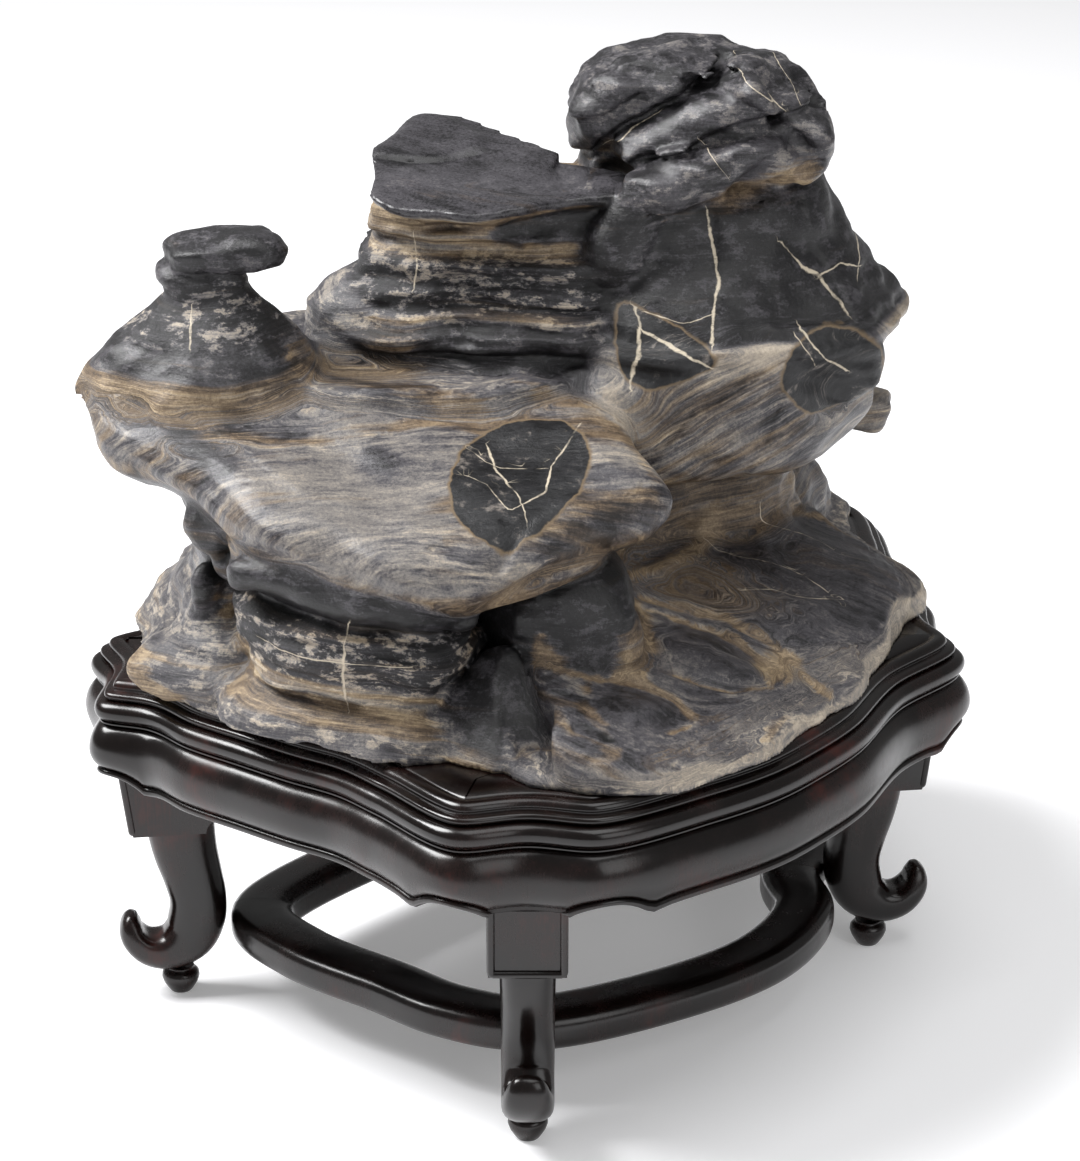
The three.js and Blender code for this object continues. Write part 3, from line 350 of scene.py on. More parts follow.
def stoneFeatures():
    return [
        # the sawn foot that lies on the board
        add(1, bed(
            [(-209, -21), (-201, -61), (-184, -92), (-153, -121), (-120, -146), (-94, -160), (-64, -172),
             (-21, -177), (-6, -196), (9, -206), (35, -215), (60, -217), (85, -202), (105, -184),
             (138, -147), (156, -112), (174, -88), (196, -6), (212, 50), (204, 105), (190, 153), (186, 215),
             (160, 250), (110, 256), (50, 238), (-20, 205), (-90, 165), (-150, 118), (-190, 60)],
            [(190, 0), (204, 0.5), (207, 3), (209, 12)],
            soft=1, ledge=1.2, ledgeSize=7), "foot"),
        add(3, bed(
            [(-205, -21), (-198, -61), (-182, -90), (-152, -119), (-120, -144), (-94, -158), (-64, -170),
             (-24, -175), (-8, -190), (0, -150), (10, 0), (30, 225), (-20, 205), (-90, 165), (-150, 118),
             (-190, 60)],
            [(190, 0), (206, 0), (213, 5), (220, 15), (228, 32)],
            soft=2, ledge=1.8, ledgeSize=8), "foot"),
        # the broad slab that runs out to the right and slopes down to a sharp rim
        add(1.5, bed(
            [(-6, -124), (5, -150), (13, -180), (14, -203), (35, -213), (60, -217), (85, -197), (116, -165),
             (139, -127), (162, -93), (180, -59), (204, 6), (220, 42), (212, 60), (191, 76), (152, 84),
             (60, 60), (-10, 0), (-24, -80)],
            [(150, -1), (259, 0), (261, 1), (262.6, 4), (263.5, 18), (264, 40)],
            tilt=(-0.2515, 0.1583), soft=0.8, ledge=1.5, ledgeSize=6), "slab", (0.17, 0.2, 0.3)),
        add(5, bed(
            [(56, -26), (74, -6), (92, 10), (122, 58), (156, 96), (176, 80), (196, 66), (206, 30),
             (190, -20), (170, -46), (140, -66), (100, -58), (70, -46)],
            [(240, 0), (263, 0), (265.5, 3), (267.5, 16)],
            tilt=(-0.2515, 0.1583), soft=2), "slabDark", (0.1, 0.24, 0.2)),
        add(2, boulder((90, -92, 214), (38, 33, 16), -38, 12), "slabDark", (0.2, 0.2, 0.2)),
        add(2, boulder((54, -158, 217), (27, 20, 11), 50, 8), "slab", (0.2, 0.1, 0.2)),
        add(8, bed(
            [(60, 60), (120, 85), (152, 100), (172, 146), (176, 205), (158, 236), (110, 248), (40, 230),
             (0, 190), (10, 110)],
            [(190, 0), (222, 1), (236, 8), (248, 22), (258, 42)],
            ledge=1.2), "slab"),
        # the banded block at the front left, with a rolled top
        add(2.5, bed(
            [(-142, -62), (-148, -105), (-138, -136), (-112, -156), (-72, -166), (-44, -160), (-30, -130),
             (-24, -70), (-50, 0), (-120, 5)],
            [(195, -14), (204, -10), (211, -3), (216, 3), (220, 2), (226, 0), (231, 2), (236, -1), (242, -3),
             (246, 1), (250, -1), (255, 4), (258, 9), (261, 5), (266, -2), (272, -5), (278, -3), (284, 3),
             (289, 13)],
            tilt=(-0.08, 0), soft=1.5, ledge=3.6, ledgeSize=6.5),
            [(204, "foot"), (209, "tanBand"), (214, "tanBand"), (217, "creamBand"), (226, "creamBand"),
             (229, "rubble"), (255, "rubble"), (258, "brown"), (262, "blackBand"), (280, "blackBand"),
             (287, "lip")]),
        add(3, ridge([(-142, -136, 283), (-112, -152, 287), (-66, -158, 278), (-34, -148, 268)], 9, 8),
            "blackBand"),
        # the smooth flank of the left foot, its cut corner and the hollow beside it
        add(4, boulder((-186, -76, 208), (20, 22, 11), -30, 10, power=2.6), "ochre"),
        carve(5, ridge([(-160, -132, 224), (-150, -108, 236), (-154, -84, 262)], 9, 7), "ochre"),
        # the pillar and knobs behind it
        add(6, bed(
            [(-180, -60), (-172, -86), (-152, -92), (-134, -78), (-120, 0), (-140, 70), (-178, 50)],
            [(205, -18), (211, -25), (219, -21), (228, -10), (240, -2), (252, 6), (272, 9), (290, 6),
             (302, 3), (335, -8)],
            ledge=1.6), [(215, "foot"), (232, "nose"), (262, "nose"), (280, "brown")]),
        add(3, boulder((-158, -92, 296), (19, 15, 17), 10, 30), "brown"),
        add(2, boulder((-150, -97, 276), (13, 10, 11), 0, 30), "brown"),
        add(2, boulder((-166, -84, 258), (9, 9, 15)), "charcoal"),
        # the heart of the stone
        add(12, bed(
            [(-140, -40), (-90, -66), (-10, -58), (40, -30), (80, 12), (132, 44), (150, 100), (130, 172),
             (60, 196), (-20, 170), (-90, 128), (-150, 78)],
            [(200, -16), (225, -8), (250, 2), (290, 4), (330, 0), (356, 6)],
            ledge=1.5, ledgeSize=9),
            [(214, "foot"), (228, "valley"), (300, "valley"), (312, "brow"), (330, "strata"),
             (345, "nose")]),
        # swells and hollows round the back
        add(8, boulder((-62, 148, 292), (58, 32, 22), -35, 0, power=2.4), "nose"),
        add(8, boulder((62, 184, 284), (56, 28, 38), 8, 0, power=2.4), "charcoal"),
        add(6, boulder((-128, 104, 250), (34, 24, 30), -40, 0, power=2.6), "nose"),
        carve(9, boulder((4, 206, 262), (30, 26, 40), 10), "valley"),
        carve(9, boulder((-96, 150, 262), (24, 22, 30), -40), "ochre"),
        # the dark many-sided lump and the little pyramid in front of it
        add(3, boulder((14, -90, 245), (40, 50, 37), 16, -8, power=2.8), "black"),
        add(1, bed(
            [(-46, -170), (-16, -191), (14, -172), (8, -140), (-38, -134)],
            [(195, -6), (207, -2), (222, 5), (234, 12), (243, 19), (249, 28)],
            soft=0.8, sharp=True, lean=(0, 0.5)), [(205, "tanBand"), (210, "blackBand"), (250, "black")]),
        add(6, boulder((-24, -134, 217), (26, 22, 15), 0, 0, power=2.6), "creamBand"),
        # the great table
        add(7, bed(
            [(-230, -43), (-226, -62), (-216, -77), (-192, -91), (-168, -112), (-130, -150), (-97, -166),
             (-62, -175), (-26, -175), (4, -152), (36, -130), (70, -109), (67, -84), (52, -50), (42, -10),
             (50, 24), (0, 40), (-70, 36), (-112, 20), (-160, 14), (-210, 10)],
            [(312, 36), (320, 20), (330, 9), (340, 2), (348, 0), (355, 4), (360, 12), (363, 26)],
            tilt=(-0.05, 0.32), soft=2),
            [(318, "lip"), (337, "lip"), (343, "table"), (363, "table")], (0.05, -0.3, -0.22)),
        add(3, bed(
            [(-150, -110), (-120, -146), (-60, -163), (-20, -158), (10, -140), (40, -110), (30, -60),
             (-60, -40), (-140, -50)],
            [(300, 10), (306, 0), (313, -3), (319, -1), (322, 2), (326, -2), (334, 6)],
            tilt=(-0.02, 0.2), soft=1.5, ledge=0.9, ledgeSize=4), "lip"),
        # the brow that overhangs the slab on the right
        add(8, boulder((40, -2, 336), (50, 42, 30)), "brow", (-0.3, 0, 0.6)),
        add(6, bed(
            [(30, -34), (60, -38), (104, -32), (140, -14), (164, 20), (174, 60), (168, 108), (140, 146),
             (80, 166), (10, 156), (-50, 110), (-50, 40), (-10, -10)],
            [(289, 30), (294, 12), (299, 4), (306, 0), (318, -2), (334, 2), (350, 3), (361, 1), (366, -2),
             (370, -1), (373, 5), (380, 10)],
            soft=2, lean=(0.38, 0)),
            [(290, "lip"), (304, "brow"), (355, "brow"), (362, "pale"), (371, "pale"),
             (373.5, "black")], (-0.28, 0.1, 0.6)),
        carve(9, boulder((140, -40, 262), (96, 56, 34), -10), "valley"),
        carve(8, boulder((222, 0, 280), (54, 60, 40)), "valley"),
        add(1.5, boulder((160, 2, 354), (27, 19, 22), 0, 0, power=2.6), "black"),
        add(3, block((186, 110, 295), (17, 18, 9), 0, 16, 0, 5), "brow"),
        # the tall column at the back right
        add(4, bed(
            [(44, 0), (66, -12), (92, -12), (130, -2), (160, 18), (176, 55), (172, 100), (140, 135),
             (80, 148), (20, 130), (5, 70), (20, 20)],
            [(366, -22), (372, -21), (378, -18), (388, -13), (399, -5), (410, 3), (422, 8), (434, 13),
             (440, 17), (447, 24), (458, 26)],
            ledge=1.0, ledgeSize=8, soft=2),
            [(370, "black"), (374, "black"), (440, "black"), (446, "brown"), (455, "tanBand")]),
        add(3, boulder((76, -12, 372), (26, 15, 16), 6, 10, power=2.6), "black"),
        # the folded cap over it
        add(5, boulder((88, 70, 470), (65, 54, 39), 0, 2, power=3), "peak"),
        add(2, boulder((44, 62, 474), (25, 42, 20), 6, 10, power=2.6), "peak"),
        add(1.5, block((84, 32, 474), (50, 27, 20), -6, -27, 10, 13), "peak"),
        add(2, boulder((128, 44, 470), (31, 38, 25), 8, 18, power=3), "peak"),
        add(2, boulder((72, 60, 492), (26, 36, 19), 0, -10, power=2.6), "peak"),
        add(2, boulder((78, 4, 452), (30, 19, 17), -4, -14, power=2.8), "peak"),
        add(2, boulder((112, 8, 462), (30, 18, 13), 10, -16, power=2.4), "peak"),
        carve(3, ridge([(48, -6, 430), (66, -8, 434), (98, -6, 436), (122, 0, 444), (150, 14, 458)], 5, 4),
              "brown"),
        carve(3, boulder((43, 14, 446), (13, 24, 12)), "brown"),
        # the middle column with its flat, sharp-edged top
        add(3, bed(
            [(-98, 12), (-80, -8), (-40, -18), (0, -20), (35, -16), (58, 0), (64, 50), (40, 84), (-10, 92),
             (-60, 98), (-92, 70)],
            [(348, -12), (359, -7), (364, -2), (367, -8), (374, -8), (377, -1), (383, -2), (387, 6),
             (395, 5), (398, 11), (404, 9), (409, 8), (411, 15), (414, 19), (419, 20), (422, 14), (430, 17),
             (438, 19), (446, 22)],
            soft=1.5, ledge=2.8, ledgeSize=6),
            [(352, "strata"), (364, "strata"), (367, "blackBand"), (376, "strata"), (382, "creamBand"),
             (386, "strata"), (410, "strata"), (413, "creamBand"), (418, "tanBand"), (434, "tanBand")]),
        add(1, bed(
            [(-82, 8), (-82, 36), (-77, 66), (-63, 97), (-36, 91), (-12, 72), (18, 48), (46, 22), (54, 2),
             (20, -10), (-14, -26), (-45, -26), (-66, -18), (-79, -5)],
            [(429, 24), (436, 13), (440, 4), (443, 0.5), (446.5, 0)],
            tilt=(0, 0.18), soft=0.8), [(434, "tanBand"), (441, "tanBand"), (443, "cap")], (0.1, 0.2, 0.3)),
        add(7, bed(
            [(-76, 40), (-74, 66), (-61, 94), (-38, 80), (-24, 60), (-40, 44)],
            [(440, 4), (448, 0), (449, 1)],
            tilt=(0, 0.18), soft=3), "cap", (0.1, 0.2, 0.3)),
        add(4, boulder((50, 2, 420), (18, 15, 27), 10, 26, power=2.6), "charcoal"),
        add(7, boulder((-96, 24, 366), (24, 34, 34), 0, 22), "nose"),
        # the small toadstool on the left end of the table
        add(5, spindle(
            (-168, -22),
            [(345, 68), (362, 60), (373, 51), (384, 40), (392, 29), (398, 23.5), (405, 22), (411, 20)],
            0.8),
            [(360, "tanBand"), (366, "charcoal"), (376, "charcoal"), (384, "strata"), (400, "strata")]),
        add(2, boulder((-171, -20, 408), (23, 19, 8), 0, 6, power=2.4), "charcoal"),
        add(1.5, boulder((-158, -18, 419.5), (30, 22, 9), 6, -3, power=3.4), "charcoal"),
        add(2, boulder((-138, -20, 421), (13, 13, 5), 0, -4), "charcoal"),
    ]


# Lines scored or raised on the skin, seen along one axis: points, mm of depth (below 0 a rib),
# width, the range they cover on that axis, and whether one side falls off sharply.
creases = [
    ("xy", [(57, -92), (25, -114), (3, -136), (-14, -164)], 3.0, 7, (285, 330), True),
    ("xy", [(-50, -66), (-10, -58), (30, -60), (66, -76)], 1.6, 6, (320, 350), False),
    ("xy", [(-222, -30), (-170, -62), (-110, -84), (-60, -128)], 1.2, 12, (300, 360), False),
    ("xy", [(-190, -84), (-120, -60), (-66, -58), (-40, -90)], -1.4, 12, (310, 360), False),
    ("xy", [(-60, -4), (-10, -14), (30, -34)], 2.0, 9, (330, 365), True),
    ("xy", [(59, -47), (101, -48), (137, -73), (156, -105)], 2.6, 7, (200, 262), True),
    ("xy", [(62, -62), (96, -58), (128, -84), (124, -112), (104, -126), (74, -122)], 2.4, 6,
     (200, 262), True),
    ("xy", [(34, -142), (52, -134), (76, -142), (84, -160), (70, -180)], 2.4, 6, (200, 262), True),
    ("xy", [(30, -150), (28, -174), (40, -198)], 2.2, 6, (200, 250), True),
    ("xy", [(53, -33), (90, 8), (119, 65)], -3.0, 6, (225, 266), False),
    ("xy", [(-78, 40), (-50, 38), (-20, 52)], 1.2, 3, (438, 470), True),
    ("xz", [(62, 305), (88, 335), (115, 352)], -2.6, 9, (-70, 0), True),
    ("xz", [(132, 345), (124, 320), (112, 298)], 2.2, 8, (-70, 10), True),
    ("xz", [(40, 352), (84, 348), (132, 358)], -1.6, 7, (-60, 10), False),
    ("xz", [(38, 465), (47, 473), (58, 480), (74, 488), (104, 504)], 6.0, 8, (-20, 70), True),
    ("xz", [(58, 462), (80, 466), (104, 480), (150, 486)], 4.5, 7, (-30, 60), True),
    ("xz", [(104, 448), (120, 462), (140, 474)], 3.0, 6, (-20, 60), True),
    ("xz", [(16, 452), (34, 458), (50, 468)], 3.0, 5, (-20, 110), True),
    ("xz", [(18, 474), (40, 480), (58, 492)], 3.0, 6, (-20, 110), True),
    ("xz", [(84, 500), (110, 494), (146, 470)], 3.0, 7, (-20, 90), True),
    ("xz", [(96, 440), (97, 400), (96, 376)], 1.4, 6, (-40, 30), True),
    ("xz", [(140, 446), (150, 410), (168, 384)], 1.6, 8, (-30, 60), True),
]

# Calcite veins: layer, plane, width in mm, range on the third axis, points.
veins = [
    (0, "xz", 2.0, (-60, 30), [(93, 436), (97, 417), (99, 403), (96, 387), (95, 374)]),
    (0, "xz", 1.8, (-30, 60), [(132, 419), (143, 405), (153, 398), (169, 381)]),
    (1, "xz", 1.0, (-30, 70), [(153, 398), (166, 402), (177, 397)]),
    (2, "xz", 0.9, (-30, 80), [(176, 420), (177, 401), (175, 393)]),
    (0, "xz", 0.6, (-30, 70), [(109, 506), (120, 498), (134, 486)]),
    (1, "xz", 0.5, (-30, 70), [(127, 509), (138, 496), (142, 488)]),
    (2, "xz", 0.5, (-30, 40), [(88, 474), (96, 466), (104, 456)]),
    (1, "xz", 0.5, (-30, 60), [(40, 462), (54, 474), (70, 484)]),
    (0, "xz", 3.2, (-60, 20), [(56, 390), (58, 376), (55, 362), (53, 352)]),
    (1, "xz", 1.6, (-60, 20), [(58, 380), (79, 371), (97, 362)]),
    (2, "xz", 0.9, (-60, 20), [(60, 388), (80, 384), (96, 388)]),
    (0, "xz", 1.4, (-60, 20), [(141, 379), (155, 364), (167, 355)]),
    (1, "xz", 0.8, (-60, 20), [(139, 376), (146, 368), (150, 360)]),
    (0, "xz", 1.2, (-80, 20), [(-173, 397), (-173, 380)]),
    (0, "xy", 1.5, (300, 350), [(-22, -84), (-20, -87), (-16, -105), (-4, -126), (0, -140)]),
    (1, "xy", 1.1, (300, 350), [(-35, -112), (-21, -119), (-9, -137), (-3, -130), (9, -119), (12, -97),
                                (21, -80), (27, -66)]),
    (2, "xy", 0.8, (300, 350), [(-30, -90), (-16, -103), (-2, -101), (10, -99)]),
    (0, "xy", 0.8, (200, 262), [(96, 18), (118, 15), (143, 13), (160, 0), (169, -12)]),
    (1, "xy", 0.7, (200, 262), [(127, 44), (154, 52), (171, 41), (188, 38)]),
    (2, "xy", 0.7, (200, 262), [(110, -20), (132, -8), (150, -14), (176, -4)]),
    (0, "xz", 1.4, (-190, -100), [(-88, 270), (-91, 256), (-92, 235), (-90, 222)]),
    (1, "xz", 0.8, (-190, -100), [(-136, 252), (-110, 250), (-56, 247)]),
    (2, "xz", 0.9, (-60, 40), [(-60, 425), (-58, 408), (-60, 396)]),
]

# Black inclusions and stains: plane, outline, range on the third axis.
ovals = [
    ("xy", [(-38, -126), (-31, -90), (-10, -67), (16, -64), (30, -83), (27, -112), (6, -142), (-14, -156),
            (-30, -149)], (296, 350)),
    ("xz", [(133, 352), (137, 368), (152, 377), (172, 374), (186, 360), (185, 342), (170, 333), (148, 333)],
     (-60, 24)),
    ("xz", [(48, 390), (60, 388), (84, 378), (97, 366), (84, 358), (62, 352), (50, 358)], (-70, 10)),
]
stains = [
    ("calm", 16, "xy", [(-152, -104), (-110, -86), (-62, -70), (-40, -92), (-44, -140), (-80, -172),
                        (-128, -150)], (300, 352)),
    ("calm", 9, "xy", [(34, -122), (64, -104), (66, -90), (38, -96)], (290, 350)),
    ("slabDark", 6, "xy", [(31, -170), (54, -133), (77, -145), (56, -187)], (200, 240)),
    ("blackBand", 3, "xz", [(-16, 423), (20, 421), (56, 420), (56, 436), (20, 437), (-10, 432)], (-60, 12)),
    ("crescent", 9, "xy", [(-70, -6), (-30, -2), (20, -12), (36, -34), (0, -32), (-40, -22)], (325, 372)),
    ("crescent", 7, "xy", [(-82, -96), (-76, -90), (-64, -108), (-72, -112)], (300, 360)),
    ("crescent", 7, "xy", [(-56, -56), (-46, -54), (-46, -64), (-56, -66)], (300, 360)),
    ("charcoal", 5, "xy", [(-124, -82), (-112, -80), (-108, -90), (-120, -94)], (300, 365)),
    ("brown", 10, "xy", [(20, -120), (66, -98), (60, -118), (10, -148)], (280, 320)),
    ("ochre", 8, "xy", [(124, -100), (140, -84), (132, -70), (116, -86)], (195, 240)),
    ("ochre", 6, "xz", [(150, 446), (120, 440), (96, 436), (96, 444), (124, 456), (150, 462)], (-20, 50)),
    ("lip", 10, "xy", [(-190, 10), (-120, -18), (-60, -20), (-60, -36), (-120, -36),
                       (-200, -14)], (330, 372)),
    ("pale", 8, "xy", [(40, -28), (60, -52), (54, -76), (38, -50)], (320, 356)),
]

# Long thin stains that follow a line: zone, width, plane, points, range on the third axis.
trails = [
    ("ochre", 5, "xy", [(53, -33), (90, 8), (119, 65), (166, 88), (183, 74)], (222, 266)),
    ("ochre", 6, "xy", [(44, -44), (60, -69), (62, -101), (56, -122), (44, -142)], (200, 252)),
    ("ochre", 4, "xy", [(4, -140), (20, -145), (36, -144), (60, -128)], (200, 254)),
    ("ochre", 3, "xy", [(59, -47), (101, -48), (137, -73), (156, -105)], (200, 254)),
    ("ochre", 3, "xy", [(62, -62), (96, -58), (128, -84), (124, -112), (104, -126), (74, -122)], (200, 254)),
    ("ochre", 3, "xy", [(34, -142), (52, -134), (76, -142), (84, -160), (70, -180)], (200, 250)),
    ("lip", 4, "xy", [(30, -150), (28, -174), (40, -198)], (200, 250)),
    ("ochre", 5, "xy", [(10, -178), (22, -196), (44, -208)], (203, 240)),
    ("lip", 9, "xy", [(-200, -30), (-150, -40), (-96, -44), (-40, -58), (14, -92)], (300, 372)),
    ("lip", 6, "xy", [(-180, -80), (-130, -92), (-80, -84), (-40, -66)], (300, 360)),
    ("crescent", 6, "xy", [(-206, -70), (-180, -84), (-150, -112)], (300, 345)),
    ("brown", 4, "xy", [(-116, -34), (-84, -46), (-50, -44)], (300, 372)),
    ("lip", 6, "xy", [(-8, -44), (30, -50), (56, -76), (64, -100)], (300, 372)),
    ("lip", 5, "xy", [(-40, -158), (0, -146), (34, -122), (64, -108)], (285, 340)),
]


def lineField(points, a, b):
    # signed distance in a plane to an open line, and how far past its ends a place lies
    p = np.array(points, float)
    near = np.full(a.shape, 1e3, np.float32)
    side = np.ones(a.shape, np.float32)
    past = np.zeros(a.shape, np.float32)
    for i, (s, e) in enumerate(zip(p[:-1], p[1:])):
        d = e - s
        length = np.linalg.norm(d)
        t = ((a - s[0]) * d[0] + (b - s[1]) * d[1]) / length ** 2
        c = np.clip(t, 0, 1)
        away = np.hypot(a - s[0] - c * d[0], b - s[1] - c * d[1])
        closer = away < near
        near = np.where(closer, away, near)
        side = np.where(closer, np.sign((a - s[0]) * d[1] - (b - s[1]) * d[0]), side)
        over = np.maximum(-t if i == 0 else 0, t - 1 if i == len(p) - 2 else 0) * length
        past = np.where(closer, np.maximum(over, 0), past)
    return near * side, past


def inPlane(plane, x, y, z):
    # the two ways along a plane and the one across it
    return (x, y, z) if plane == "xy" else (x, z, y)


def creaseRelief(x, y, z):
    # how deep the scored lines cut at each place
    total = np.zeros(x.shape, np.float32)
    for plane, points, depth, width, (low, high), steep in creases:
        a, b, c = inPlane(plane, x, y, z)
        away, past = lineField(points, a, b)
        fade = np.clip(1 - past / (2 * width), 0, 1)
        fade = fade * np.clip((c - low) / 8, 0, 1) * np.clip((high - c) / 8, 0, 1)
        before = np.exp(-(away / width) ** 2)
        behind = np.exp(-(away / (2 if steep else width)) ** 2)
        total += depth * fade * np.where(away > 0, before, behind)
    return total


def roughOf(paint):
    # the mean small relief of a shape's zones
    names = [paint] if isinstance(paint, str) else [p[1] for p in paint or []]
    return float(np.mean([zones[n][6] for n in names])) if names else 0.3


def stoneDistance(features, x, y, z, groups=None):
    # the signed distance to the stone; groups gives each feature the rows of points that are near it
    wx, wy, wz = worn(x, y, z)
    near = np.full(x.shape, 30.0, np.float32)
    rough = np.full(x.shape, 0.3, np.float32)
    for n, f in enumerate(features):
        rows = slice(None) if groups is None else groups[n]
        if groups is not None and not len(rows):
            continue
        d = f["shape"]["distance"](wx[rows], wy[rows], wz[rows])
        before = near[rows]
        after = blend(before, d, f["soft"]) if f["sign"] > 0 else -blend(-before, d, f["soft"])
        rough[rows] = np.where(np.abs(after - before) > 1e-3, roughOf(f["paint"]), rough[rows])
        near[rows] = after
    # slow swells and lumps, thin beds, then hollows that meet at sharp edges
    relief = 0.8 * noise(x, y, z + 31, 34) + 1.2 * noise(x + 17, y, z * 1.6, 13) * rough
    relief = relief + 1.5 * noise(x * 0.16, y * 0.16 + 11, z + 0.08 * x, 4.6) * rough
    relief = relief + (4.6 * np.abs(noise(x + 71, y + 5, z * 1.3, 27)) - 1.6) * rough
    relief = relief + 2.0 * np.abs(noise(x + 11, y + 45, z * 1.2, 11)) * rough
    return np.maximum(near + relief + creaseRelief(x, y, z), stone["foot"] - z)


def carveStone(features):
    # the stone as a closed skin: a coarse pass finds where the skin runs, a fine pass fills in round it
    step, fine = stone["voxel"] * 4, stone["voxel"]
    low = np.array(stone["low"])
    count = np.ceil((np.array(stone["high"]) - low) / step).astype(int)
    centres = [low[a] + (np.arange(count[a]) + 0.5) * step for a in range(3)]
    cx, cy, cz = (v.ravel().astype(np.float32) for v in np.meshgrid(*centres, indexing="ij"))
    coarse = stoneDistance(features, cx, cy, cz).reshape(count)
    dense = np.repeat(np.repeat(np.repeat(np.sign(coarse) * 3 * fine, 4, 0), 4, 1), 4, 2).astype(np.float32)
    # half a coarse cell's diagonal is 0.87 of its side
    blocks = np.argwhere(np.abs(coarse) < step * 0.87 + 4 * fine)
    inner = np.argwhere(np.ones((4, 4, 4), bool))
    cells = blocks[:, None, :] * 4 + inner[None]
    spots = (low + (cells + 0.5) * fine).astype(np.float32)
    middles = low + (blocks + 0.5) * step
    groups = []
    for f in features:
        room = f["soft"] + step * 0.5 + stone["relief"]
        low3, high3 = np.array(f["shape"]["low"]) - room, np.array(f["shape"]["high"]) + room
        groups.append(np.nonzero(np.all((middles > low3) & (middles < high3), 1))[0])
    values = stoneDistance(features, spots[..., 0], spots[..., 1], spots[..., 2], groups)
    dense[cells[..., 0], cells[..., 1], cells[..., 2]] = np.clip(values, -3 * fine, 3 * fine)
    grid = openvdb.FloatGrid(3 * fine)
    grid.copyFromArray(dense)
    points, quads = grid.convertToQuads(0.0)
    return low + (points + 0.5) * fine, quads


def largestPiece(mesh):
    # loose crumbs are thrown away
    bm = bmesh.new()
    bm.from_mesh(mesh)
    bm.verts.ensure_lookup_table()
    seen = np.zeros(len(bm.verts), bool)
    best = []
    for start in bm.verts:
        if seen[start.index]:
            continue
        seen[start.index] = True
        found, queue = [start], [start]
        while queue:
            for edge in queue.pop().link_edges:
                for v in edge.verts:
                    if not seen[v.index]:
                        seen[v.index] = True
                        found.append(v)
                        queue.append(v)
        if len(found) > len(best):
            best = found
    keep = set(best)
    loose = [v for v in bm.verts if v not in keep]
    bmesh.ops.delete(bm, geom=loose, context="VERTS")
    bm.to_mesh(mesh)
    bm.free()


def outlineField(outline, plane, low, high, x, y, z):
    # signed distance to an outline seen along one axis, kept outside its range on that axis
    a, b, c = inPlane(plane, x, y, z)
    read, edge = planField(outline, False)
    reach = stone["outlineReach"]
    inside = np.all([a > edge[:, 0].min() - reach, a < edge[:, 0].max() + reach,
                     b > edge[:, 1].min() - reach, b < edge[:, 1].max() + reach], 0)
    return np.where(inside, np.maximum(read(a, b), np.maximum(low - c, c - high)), reach).astype(np.float32)


def stoneLooks(features, x, y, z):
    # each point takes the look of the shape whose skin it lies on, then the stains go over it
    wx, wy, wz = worn(x, y, z)
    total = np.full(x.shape, 1e-6, np.float32)
    looks = np.zeros(x.shape + (7,), np.float32)
    level = np.zeros(x.shape, np.float32)
    for f in features:
        if f["paint"] is None:
            continue
        body, reach = f["shape"], stone["zoneReach"]
        near = [(v > low - reach) & (v < high + reach)
                for v, low, high in zip((x, y, z), body["low"], body["high"])]
        rows = np.nonzero(np.all(near, 0))[0]
        weight = np.exp(-np.abs(body["distance"](wx[rows], wy[rows], wz[rows])) / stone["zoneFade"])
        h = body["level"](wx[rows], wy[rows], wz[rows])
        if isinstance(f["paint"], str):
            look = np.tile(np.array(zones[f["paint"]], np.float32), (len(rows), 1))
        else:
            steps = [s[0] for s in f["paint"]]
            table = np.array([zones[s[1]] for s in f["paint"]])
            look = np.stack([np.interp(h, steps, table[:, k]) for k in range(7)], 1)
        if f["grain"]:
            h = f["grain"][0] * x[rows] + f["grain"][1] * y[rows] + f["grain"][2] * z[rows] + 300
        looks[rows] += weight[:, None] * look
        level[rows] += weight * h
        total[rows] += weight
    looks /= total[:, None]
    level /= total
    for zone, soft, plane, outline, (low, high) in stains:
        away = outlineField(outline, plane, low, high, x, y, z)
        away = away + 3 * noise(x, y, z, 16) + 2 * noise(x, y, z, 5)
        share = np.clip(0.5 - away / (2 * soft), 0, 1)[:, None]
        looks = looks * (1 - share) + share * np.array(zones[zone], np.float32)
    for zone, width, plane, points, (low, high) in trails:
        a, b, c = inPlane(plane, x, y, z)
        away, past = lineField(points, a, b)
        away = np.abs(away) + past + 2.2 * noise(x, y, z, 14) + 1.2 * noise(x, y, z, 5)
        share = (np.clip(1.3 - away / width, 0, 1) * (c > low) * (c < high))[:, None] * 0.8
        looks = looks * (1 - share) + share * np.array(zones[zone], np.float32)
    sway = noise(x * 0.5, y, z + 9, 58) + 0.45 * noise(x * 0.5 + 7, y, z, 24)
    return looks, level + looks[:, 4] * sway


